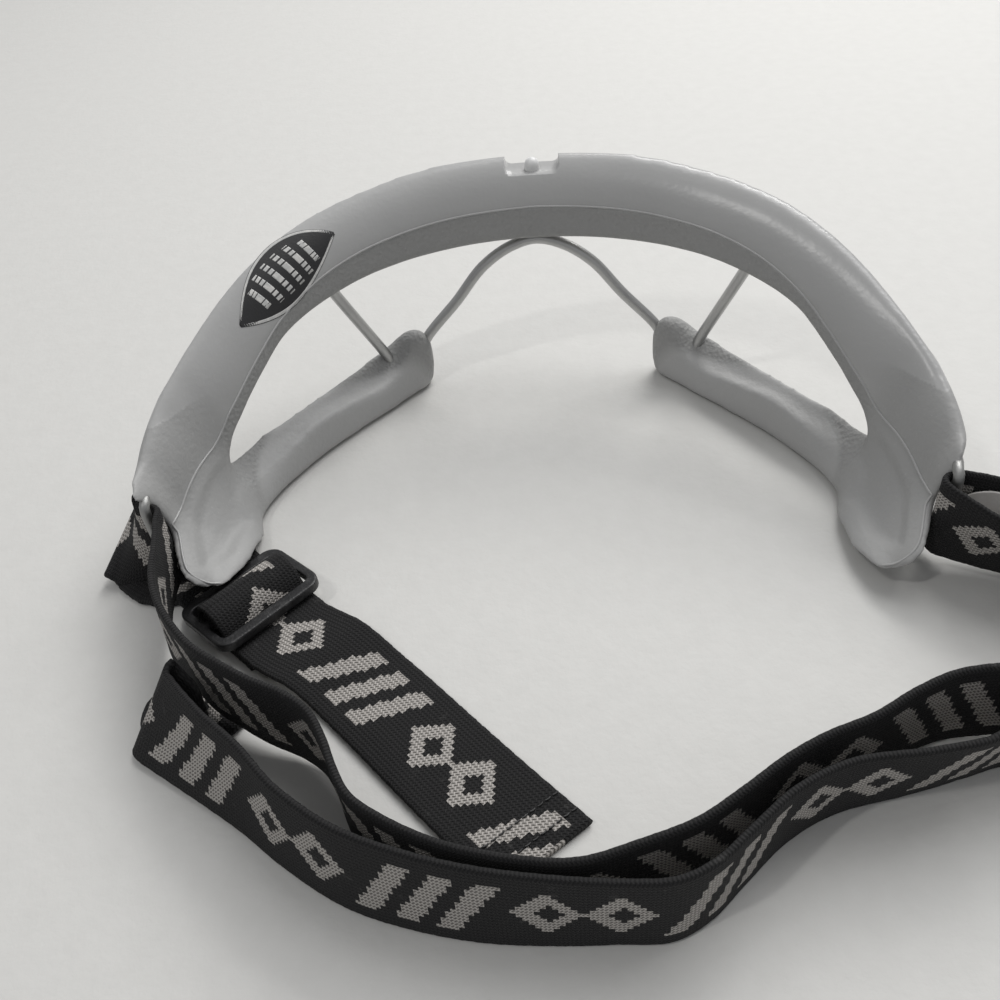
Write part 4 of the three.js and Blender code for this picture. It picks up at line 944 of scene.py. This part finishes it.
# Rows: x, y as shares of STRAP_REACH and z of STRAP_WIDTH, then the way of the width where it leans.
BAND_SHARES = [
    (-0.722, -0.69, 0.048, 0.678, 0.735, 0), (-0.763, -0.68, 0.048, 0.67, 0.735, 0),
    (-0.8, -0.665, 0.135, 0.62, 0.76, 0.18), (-0.832, -0.641, 0.22, 0.5, 0.78, 0.36),
    (-0.857, -0.625, 0.275, 0.35, 0.81, 0.48), (-0.87, -0.621, 0.305, 0.35, 0.81, 0.48),
    (-0.874, -0.624, 0.34, 0.35, 0.81, 0.48), (-0.87, -0.631, 0.375, 0.35, 0.81, 0.48),
    (-0.857, -0.64, 0.395, 0.34, 0.79, 0.52), (-0.838, -0.663, 0.46, 0.29, 0.6, 0.74),
    (-0.815, -0.683, 0.56, 0.17, 0.3, 0.93), (-0.788, -0.693, 0.65, 0.03, 0.04, 1),
    (-0.764, -0.6955, 0.676), (-0.7495, -0.6975, 0.676), (-0.7385, -0.7045, 0.676),
    (-0.7345, -0.717, 0.676), (-0.7335, -0.737, 0.676, 0.02, 0, 1),
    (-0.73, -0.77, 0.665, 0.08, 0.02, 0.99), (-0.722, -0.82, 0.66, 0.12, 0.04, 0.99),
    (-0.71, -0.875, 0.65, 0.1, 0.04, 0.99), (-0.683, -0.932, 0.645, 0.06, 0.04, 0.99),
    (-0.638, -0.988, 0.64), (-0.588, -1.04, 0.63), (-0.531, -1.077, 0.61), (-0.48, -1.105, 0.58),
    (-0.412, -1.134, 0.54), (-0.37, -1.165, 0.515), (-0.34, -1.213, 0.51), (-0.317, -1.263, 0.51),
    (-0.288, -1.31, 0.51), (-0.232, -1.35, 0.51), (-0.142, -1.391, 0.51),
    (-0.031, -1.417, 0.51, 0, 0.02, 1), (0.05, -1.42, 0.51, 0, 0.02, 1), (0.133, -1.394, 0.51),
    (0.218, -1.361, 0.51), (0.286, -1.316, 0.51), (0.359, -1.263, 0.51), (0.421, -1.228, 0.51),
    (0.5, -1.195, 0.51), (0.572, -1.152, 0.51), (0.641, -1.122, 0.515), (0.72, -1.112, 0.52),
    (0.81, -1.11, 0.53), (0.9, -1.09, 0.545), (0.975, -1.035, 0.56), (1.005, -0.955, 0.58),
    (0.985, -0.885, 0.575, 0.1, -0.25, 0.96), (0.925, -0.838, 0.58, 0.08, -0.36, 0.93),
    (0.86, -0.808, 0.6, 0.04, -0.38, 0.93), (0.8, -0.782, 0.635, 0, -0.3, 0.95),
    (0.76, -0.753, 0.668, 0, -0.12, 0.99), (0.7405, -0.734, 0.676), (0.7345, -0.717, 0.676),
    (0.7385, -0.7045, 0.676), (0.7495, -0.6975, 0.676), (0.767, -0.695, 0.676), (0.8, -0.702, 0.658),
    (0.85, -0.722, 0.63), (0.91, -0.75, 0.6), (0.985, -0.79, 0.58), (1.045, -0.85, 0.565),
    (1.07, -0.955, 0.56), (1.04, -1.07, 0.535), (0.95, -1.15, 0.525),
    (0.84, -1.178, 0.515, 0, -0.06, 0.99), (0.737, -1.185, 0.51, 0, -0.16, 0.98),
    (0.653, -1.217, 0.505, 0, -0.25, 0.97), (0.567, -1.238, 0.505, 0, -0.2, 0.97),
    (0.45, -1.261, 0.505, 0, -0.12, 0.99), (0.365, -1.305, 0.505, 0, -0.08, 0.99),
    (0.295, -1.366, 0.505, 0, -0.05, 1), (0.235, -1.42, 0.505, 0, -0.02, 1), (0.18, -1.447, 0.505),
    (0.1, -1.45, 0.505), (0, -1.447, 0.505, 0, 0.05, 1), (-0.1, -1.437, 0.505, 0, 0.1, 0.99),
    (-0.2, -1.415, 0.505, 0, 0.14, 0.99), (-0.305, -1.377, 0.5, 0, 0.18, 0.98),
    (-0.407, -1.312, 0.5, 0.05, 0.2, 0.98), (-0.487, -1.242, 0.5, 0.1, 0.28, 0.95),
    (-0.562, -1.186, 0.495, 0.15, 0.32, 0.93), (-0.624, -1.138, 0.485, 0.3, 0.33, 0.88),
    (-0.664, -1.106, 0.473, 0.44, 0.32, 0.83), (-0.678, -1.092, 0.465, 0.47, 0.32, 0.82),
    (-0.68, -1.08, 0.46, 0.47, 0.32, 0.82), (-0.672, -1.07, 0.452, 0.47, 0.32, 0.82),
    (-0.665, -1.062, 0.41, 0.6, 0, 0.65), (-0.657, -1.053, 0.28, 0.68, -0.35, 0.4),
    (-0.648, -1.043, 0.14, 0.7, -0.6, 0.17), (-0.638, -1.032, 0.05, 0.7, -0.7, 0),
    (-0.615, -1.003, 0.048, 0.75, -0.66, 0), (-0.597, -0.978, 0.048, 0.8, -0.6, 0),
]
# Rows: place along the slider and height over the table, in SLIDER_PITCH.
FEED_SHARES = [
    (-1.75, 0.12), (-1.35, 0.12), (-0.97, 0.12), (-0.7, 0.19), (-0.6, 0.38), (-0.48, 0.76), (-0.26, 1.0),
    (0, 1.075), (0.26, 1.005), (0.47, 0.785), (0.64, 0.48), (0.86, 0.36), (1.2, 0.36), (1.6, 0.36),
]
# Rows: share of TAIL_RUN, share of the height the slider gives it, share of TAIL_DRIFT.
TAIL_SHARES = [
    (0, 1, 0), (0.06, 1, 0.3), (0.13, 1, 0.72), (0.2, 0.5, 0.95), (0.27, 0, 1), (0.4, 0, 0.85),
    (0.6, 0, 0.5), (0.8, 0, 0.2), (1, 0, 0),
]
heading = np.array((math.cos(SLIDER_HEADING), math.sin(SLIDER_HEADING)))


def axis_station(along, z, drift=0.0):
    """Centre and width direction of a station straight along the slider's axis."""
    width = np.array((-heading[1], heading[0], 0))
    centre = np.array((*(SLIDER_PLACE + along * heading), z)) + width * drift
    return centre, width, False


def route_station(row):
    """Centre and width direction of a row, and whether it is pinched at a bail."""
    width = np.array(row[3:] or (0, 0, 1), float)
    centre = np.array((row[0] * STRAP_REACH, row[1] * STRAP_REACH, row[2] * STRAP_WIDTH))
    return centre, width / np.linalg.norm(width), row[2] > 0.5


EDGE_STEPS = 5
FACE_STEPS = 22
FACE_SHARE = 0.86
EDGE_FACE_SHARE = 0.92
SELVEDGE_RISE = 0.16
SELVEDGE_REACH = 0.07
STRAP_STEP = 0.6
SHEAR_LIMIT = 0.8
FRAY = 0.004
SEWN_START = 0.2
JOIN_GAP = 0.3


def strap_outline():
    """Half-width share and lift share of each point round the strap's section."""
    edge = STRAP_THICKNESS / STRAP_WIDTH
    points = []
    for face in (1, -1):
        for k in range(FACE_STEPS + 1):
            v = face * (1 - 2 * k / FACE_STEPS) * (1 - edge)
            selvedge = 1 + SELVEDGE_RISE * math.exp(-((1 - abs(v)) / SELVEDGE_REACH) ** 2)
            points.append((v, face * FACE_SHARE * selvedge))
        for k in range(1, EDGE_STEPS):
            turn = math.pi * k / EDGE_STEPS
            v = -face * (1 - edge + edge * math.sin(turn))
            points.append((v, face * EDGE_FACE_SHARE * math.cos(turn)))
    return points


def strap_piece(name, stations, start_length=0.0):
    """A length of strap through stations; its UV map holds the place along and across it in metres."""
    line, marks = smooth_route([station[0] for station in stations], STRAP_STEP)
    section = strap_outline()
    steps = np.linalg.norm(np.diff(line, axis=0), axis=1)
    lengths = start_length + np.concatenate([[0], np.cumsum(steps)])
    rings = []
    for centre, way, mark, length in zip(line, ways_along(line), marks, lengths):
        k = min(int(mark), len(stations) - 2)
        t = mark - k
        width = stations[k][1] * (1 - t) + stations[k + 1][1] * t
        width /= np.linalg.norm(width)
        normal = np.cross(way, width)
        slope = np.linalg.norm(normal)
        away = math.hypot(abs(centre[0]) - BAIL_X, centre[1] - BAIL_Y)
        pinch = PINCH_SHARE * math.exp(-((away / PINCH_REACH) ** 2)) if stations[k][2] else 0
        fray = FRAY * (math.sin(length * 2.1) + math.sin(length * 5.3 + 1))
        half = width * (1 - pinch) / max(slope, SHEAR_LIMIT) * STRAP_WIDTH / 2 * (1 + fray)
        lift = normal / slope * STRAP_THICKNESS / 2
        rings.append([centre + half * v + lift * n for v, n in section])
    piece = new_piece(name, *skin(rings))
    layer = piece.data.uv_layers.new(name="strap")
    for corner in piece.data.loops:
        ring, place = divmod(corner.vertex_index, len(section))
        layer.data[corner.index].uv = (lengths[ring] / 1000, section[place][0] * STRAP_WIDTH / 2000)
    return piece, lengths[-1]


feed = [axis_station(along * SLIDER_PITCH, z * SLIDER_PITCH) for along, z in FEED_SHARES]
bar = [along for along, _ in FEED_SHARES].index(0)
band_stations = [route_station(row) for row in BAND_SHARES]
UNDER_ROWS = 4
under_line = feed[bar::-1] + band_stations[:UNDER_ROWS + 1]
feed_end = FEED_SHARES[-1][0] * SLIDER_PITCH + JOIN_GAP
tail_raise = FEED_SHARES[-1][1] * SLIDER_PITCH - FLAT
tail_line = feed[bar:-1]
tail_line += [axis_station(feed_end + r[0] * TAIL_RUN, FLAT + r[1] * tail_raise, r[2] * TAIL_DRIFT)
              for r in TAIL_SHARES]
last_centre, last_width, _ = tail_line[-1]
turned = Matrix.Rotation(TAIL_SKEW, 3, "Z") @ Vector(last_width)
tail_line[-1] = (last_centre, np.array(turned), False)
loop_line = [axis_station(LOOP_TAB * share, FLAT) for share in LOOP_TAB_SHARES]
place, drop = LOOP_RISE_SHARES
loop_line.append(axis_station(LOOP_TAB * place, SLIDER_Z - LOOP_RADIUS - STRAP_THICKNESS * drop))
for degrees in range(0, LOOP_WRAP + 1, LOOP_STEP):
    turn = math.radians(degrees)
    loop_line.append(axis_station(-LOOP_RADIUS * math.sin(turn), SLIDER_Z - LOOP_RADIUS * math.cos(turn)))

under_piece, under_length = strap_piece("strap_under_bail", under_line)
band_piece, _ = strap_piece("strap_band_knit", band_stations[UNDER_ROWS:], under_length)
tail_piece, _ = strap_piece("strap_tail_knit", tail_line)
for corner in tail_piece.data.uv_layers["strap"].data:
    corner.uv = (-corner.uv[0], corner.uv[1])
loop_piece, _ = strap_piece("strap_sewn_end", loop_line, SEWN_START)

# Knitted pattern: leaning bars and small lozenges, stepped at the stitches.
STITCH_LENGTH = 0.00062
STITCH_WIDTH = 0.00078
STEP_ALONG_SHARE = 1.4
STEP_ACROSS_SHARE = 1.2
CHEVRON_SHARE = 1.1
REPEAT = 0.046
BAR_STARTS = (0.002, 0.0084, 0.0148)
BAR_WIDTH = 0.0036
BARS_HALF_WIDTH = 0.0064
MOTIF_LEAN = 0.55
LOZENGE_MIDDLES = (0.028, 0.0385)
LOZENGE_REACH = 0.0052
LOZENGE_HOLE_SHARE = 0.42
LOZENGE_SQUAT = 0.9
knit = Finish("black_knit")
uv = knit.node("ShaderNodeUVMap", {"uv_map": "strap"})
along = knit.node("ShaderNodeSeparateXYZ", {}, {0: uv}, 0)
across = knit.node("ShaderNodeSeparateXYZ", {}, {0: uv}, 1)
stitch_u = along.stepped(STITCH_LENGTH * STEP_ALONG_SHARE)
stitch_v = across.stepped(STITCH_WIDTH * STEP_ACROSS_SHARE)
inside = across.size().below(BARS_HALF_WIDTH)
cycle = (stitch_u + stitch_v * MOTIF_LEAN).remainder(REPEAT)
bars = 0
for start in BAR_STARTS:
    bars = bars + cycle.above(start) * cycle.below(start + BAR_WIDTH)
cycle = stitch_u.remainder(REPEAT)
lozenges = 0
for middle in LOZENGE_MIDDLES:
    away = (cycle - middle).size() + stitch_v.size() * LOZENGE_SQUAT
    lozenges = lozenges + away.below(LOZENGE_REACH) * away.above(LOZENGE_REACH * LOZENGE_HOLE_SHARE)
motif = (bars * inside + lozenges).least(1.0)
wave_v = (across * (2 * math.pi / STITCH_WIDTH)).wave()
chevron = ((across / STITCH_WIDTH).remainder(1.0) - 0.5).size()
wave_u = ((along / STITCH_LENGTH + chevron * CHEVRON_SHARE) * (2 * math.pi)).wave()
stitches = wave_u * 0.32 + wave_v * 0.26 + 0.5
fuzz = knit.noise(5200, 2)
lint = knit.noise(380, 4, 0.6)
black = knit.blend(stitches.clear(0.2, 0.9), (0.003, 0.003, 0.0034), (0.015, 0.0145, 0.015))
black = knit.blend(lint.clear(0.62, 0.8) * 0.3, black, (0.1, 0.098, 0.095))
pale = knit.blend(stitches.clear(0.1, 0.75), (0.13, 0.122, 0.112), (0.47, 0.445, 0.42))
knit.paint(
    base_color=knit.blend(motif, black, pale),
    roughness=0.94,
    normal=knit.bump(stitches + fuzz * 0.5 + motif * 0.25, 0.00022, 0.9),
)
for piece in (under_piece, band_piece, tail_piece, loop_piece):
    knit.coat(piece)
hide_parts("strap_band")
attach(band_piece, "goggles")
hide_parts("strap_feed", "strap_band")
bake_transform(under_piece)
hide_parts("strap_tail", "strap_feed")
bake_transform(tail_piece)
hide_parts("strap_end")
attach(loop_piece, "slider")

# Hem of the free end: the last 9 mm are folded under and sewn with two rows of black thread, laid
# along the fold as single stitches.
HEM_LENGTH = 9.0
THREAD_RADIUS = 0.16
STITCH_PITCH = 1.5
STITCH_SHARE = 0.7
STITCH_RISE = 0.22
STITCH_TURN = 0.12
STITCH_SEED = 7
ROW_FROM_FOLD = 1.6
ROW_SPACING = 4.2
ROW_HALF_SHARE = 0.46
ROW_POINTS = 24
THREAD_SINK_SHARE = 0.4


def thread_rows(name, lines):
    """Stitches set out along lines: a Geometry Nodes tree lays one short thread on each pitch."""
    curve = bpy.data.curves.new(name, "CURVE")
    curve.dimensions = "3D"
    for line in lines:
        spline = curve.splines.new("POLY")
        spline.points.add(len(line) - 1)
        for point, place in zip(spline.points, line):
            point.co = (*in_row(place), 1)
    carrier = add_object(name, curve)
    tree = bpy.data.node_groups.new("stitch_rows", "GeometryNodeTree")
    inputs = {
        "Geometry": ("Geometry", None), "Pitch": ("Float", STITCH_PITCH / 1000),
        "Share": ("Float", STITCH_SHARE), "Radius": ("Float", THREAD_RADIUS / 1000),
        "Seed": ("Int", STITCH_SEED), "Thread": ("Material", thread.material),
    }
    for key, (kind, _) in inputs.items():
        tree.interface.new_socket(key, in_out="INPUT", socket_type=f"NodeSocket{kind}")
    tree.interface.new_socket("Geometry", in_out="OUTPUT", socket_type="NodeSocketGeometry")

    def add(kind, links, **settings):
        made = tree.nodes.new(kind)
        for key, setting in settings.items():
            setattr(made, key, setting)
        for key, source in links.items():
            if hasattr(source, "is_output"):
                tree.links.new(source, made.inputs[key])
            else:
                made.inputs[key].default_value = source
        return made.outputs

    given = add("NodeGroupInput", {})
    route = {"Curve": given["Geometry"], "Length": given["Pitch"]}
    spots = add("GeometryNodeCurveToPoints", route, mode="LENGTH")
    length = add("ShaderNodeMath", {0: given["Pitch"], 1: given["Share"]}, operation="MULTIPLY")
    reach = add("ShaderNodeCombineXYZ", {"Z": length[0]})
    ends = [add("ShaderNodeVectorMath", {0: reach[0], "Scale": share}, operation="SCALE")[0]
            for share in (-0.5, 0.5)]
    rise = add("ShaderNodeCombineXYZ", {"X": STITCH_RISE / 1000})
    bow = {"Resolution": 6, "Start": ends[0], "Middle": rise[0], "End": ends[1]}
    stitch = add("GeometryNodeCurveQuadraticBezier", bow)
    span = {2: -STITCH_TURN, 3: STITCH_TURN, "Seed": given["Seed"]}
    turn = add("FunctionNodeRandomValue", span, data_type="FLOAT")
    spread = {"Points": spots["Points"], "Instance": stitch[0], "Rotation": spots["Rotation"]}
    laid = add("GeometryNodeInstanceOnPoints", spread)
    spin = add("ShaderNodeCombineXYZ", {"X": turn[1]})
    turned = add("GeometryNodeRotateInstances", {"Instances": laid[0], "Rotation": spin[0]})
    plain = add("GeometryNodeRealizeInstances", {"Geometry": turned[0]})
    ring = add("GeometryNodeCurvePrimitiveCircle", {"Resolution": 6, "Radius": given["Radius"]})
    tube = add("GeometryNodeCurveToMesh", {"Curve": plain[0], "Profile Curve": ring[0], "Fill Caps": True})
    solid = add("GeometryNodeRealizeInstances", {"Geometry": tube[0]})
    painted = add("GeometryNodeSetMaterial", {"Geometry": solid[0], "Material": given["Thread"]})
    add("NodeGroupOutput", {"Geometry": painted[0]})
    layer = carrier.modifiers.new("stitches", "NODES")
    layer.node_group = tree
    for socket in tree.interface.items_tree:
        if socket.in_out == "INPUT" and socket.name != "Geometry":
            layer[socket.identifier] = inputs[socket.name][1]
    bpy.context.view_layer.update()
    made = bpy.data.meshes.new_from_object(carrier.evaluated_get(bpy.context.evaluated_depsgraph_get()))
    bpy.data.objects.remove(carrier)
    made.polygons.foreach_set("use_smooth", [True] * len(made.polygons))
    return add_object(name, made)


thread = Finish("black_thread")
twist = thread.noise(3000, 2, stretch=(1, 1, 3))
thread.two_tone(twist, (0.012, 0.012, 0.013), (0.05, 0.05, 0.05), roughness=twist * 0.3 + 0.4)
far_centre, far_width, _ = tail_line[-1]
near_centre = tail_line[-2][0]
tail_way = (far_centre - near_centre) / np.linalg.norm(far_centre - near_centre)
lines = []
for back in (HEM_LENGTH - ROW_FROM_FOLD, HEM_LENGTH - ROW_FROM_FOLD - ROW_SPACING):
    rise = STRAP_THICKNESS / 2 + THREAD_RADIUS * THREAD_SINK_SHARE
    middle = far_centre - tail_way * back + np.array((0, 0, rise))
    half = STRAP_WIDTH * ROW_HALF_SHARE
    lines.append([middle + far_width * v for v in np.linspace(-half, half, ROW_POINTS)])
stitches = thread_rows("tail_stitches", lines)
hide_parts("strap_tail")
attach(stitches, "goggles")

# Slider: a flat moulded buckle of black grained plastic with two slots and a middle bar, tilted a
# little because the strap lifts it.
SLIDER_BAR = 1.7
SLIDER_END_BAR = 2.5
SLIDER_HALF_WIDTH = 11.9
SLOT_HALF_WIDTH = 10.1
SLIDER_THICKNESS = 2.0
SLIDER_CORNER = 3.2
SLOT_CORNER = 1.2
SLIDER_TILT = math.radians(7.2)
SLIDER_VOXEL = 0.22
SLIDER_SOFTENING = 7


def rounded_box(name, x0, x1, y_half, corner, z_half):
    """A block with rounded corners, about the middle of the slider."""
    outline = []
    for cx, cy, start in ((x1 - corner, y_half - corner, 0), (x0 + corner, y_half - corner, 90),
                          (x0 + corner, corner - y_half, 180), (x1 - corner, corner - y_half, 270)):
        outline += arc((cx, cy), corner, start, start + 90, 10)
    return new_piece(name, *skin([[(x, y, z) for x, y in outline] for z in (-z_half, z_half)]), offset=0)


reach = SLIDER_PITCH + SLIDER_END_BAR / 2
slider_size = (SLIDER_HALF_WIDTH, SLIDER_CORNER, SLIDER_THICKNESS / 2)
slider = rounded_box("slider_plastic", -reach, reach, *slider_size)
slot_far = SLIDER_PITCH - SLIDER_END_BAR / 2
for x0, x1 in ((-slot_far, -SLIDER_BAR / 2), (SLIDER_BAR / 2, slot_far)):
    cut_away(slider, rounded_box("slot", x0, x1, SLOT_HALF_WIDTH, SLOT_CORNER, SLIDER_THICKNESS))
remesh = slider.modifiers.new("skin", "REMESH")
remesh.mode = "VOXEL"
remesh.voxel_size = SLIDER_VOXEL / 1000
remesh.use_smooth_shade = True
soften = slider.modifiers.new("soften", "SMOOTH")
soften.factor = 0.5
soften.iterations = SLIDER_SOFTENING
finish_modifiers(slider)
turn = Matrix.Rotation(SLIDER_HEADING, 4, "Z") @ Matrix.Rotation(-SLIDER_TILT, 4, "Y")
slider.data.transform(Matrix.Translation(in_row((*SLIDER_PLACE, SLIDER_Z))) @ turn)
plastic = Finish("black_plastic")
pebble = plastic.cells(2300)
scuff = plastic.noise(420, 4, 0.6)
plastic.two_tone(scuff.clear(0.5, 0.8), (0.014, 0.014, 0.015), (0.05, 0.05, 0.051),
                 roughness=scuff * 0.25 + 0.3, normal=plastic.bump(pebble, 0.00006))
plastic.coat(slider)
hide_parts("strap_slider")
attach(slider, "slider")

# Label: a blank round sticker of off-white vinyl, cut with a die and stuck to the strap beside the
# right bail. Its disc is the solid's own.
vinyl = Finish("white_vinyl")
dirt = vinyl.noise(160, 4, 0.6)
vinyl.two_tone(dirt.clear(0.35, 0.75), (0.72, 0.7, 0.68), (0.6, 0.575, 0.55),
               roughness=dirt * 0.2 + 0.3, normal=vinyl.bump(vinyl.noise(500, 2), 0.00006))
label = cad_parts["strap_label"]
vinyl.coat(label)

# Floor and light: a plain pale table under a large soft window light from behind the brow, with a
# small lamp for the glints and a wide ceiling light that fills the shadows.
floor_mesh = bpy.data.meshes.new("table_top")
floor_mesh.from_pydata([(-3, -3, 0), (3, -3, 0), (3, 3, 0), (-3, 3, 0)], [], [(0, 1, 2, 3)])
floor = add_object("table_top", floor_mesh)
table = Finish("pale_table")
mottle = table.noise(220, 4)
table.two_tone(mottle, (0.575, 0.57, 0.552), (0.625, 0.62, 0.602),
               roughness=0.7, normal=table.bump(table.noise(600, 3), 0.00015, 0.6))
table.coat(floor)
world = bpy.data.worlds.new("studio")
world.use_nodes = True
world.node_tree.nodes["Background"].inputs["Color"].default_value = (0.97, 0.98, 1.0, 1)
world.node_tree.nodes["Background"].inputs["Strength"].default_value = 0.4
scene.world = world


def lamp(name, place, target, size, power, colour=(1, 1, 1)):
    data = bpy.data.lights.new(name, "AREA")
    data.shape = "RECTANGLE"
    data.size, data.size_y = size
    data.energy = power
    data.color = colour
    made = add_object(name, data)
    made.location = place
    made.rotation_euler = (Vector(target) - Vector(place)).to_track_quat("-Z", "Y").to_euler()


lamp("window", (0.28, 0.72, 0.72), (0, 0.05, 0.02), (0.55, 0.4), 5.2, (1.0, 0.99, 0.97))
lamp("lantern", (-0.397, -0.275, 0.775), (0.055, 0.012, 0.04), (0.03, 0.09), 0.9, (1.0, 0.99, 0.97))
lamp("ceiling", (0.32, 0.34, 0.9), (0, 0.05, 0), (0.6, 0.6), 4.2)
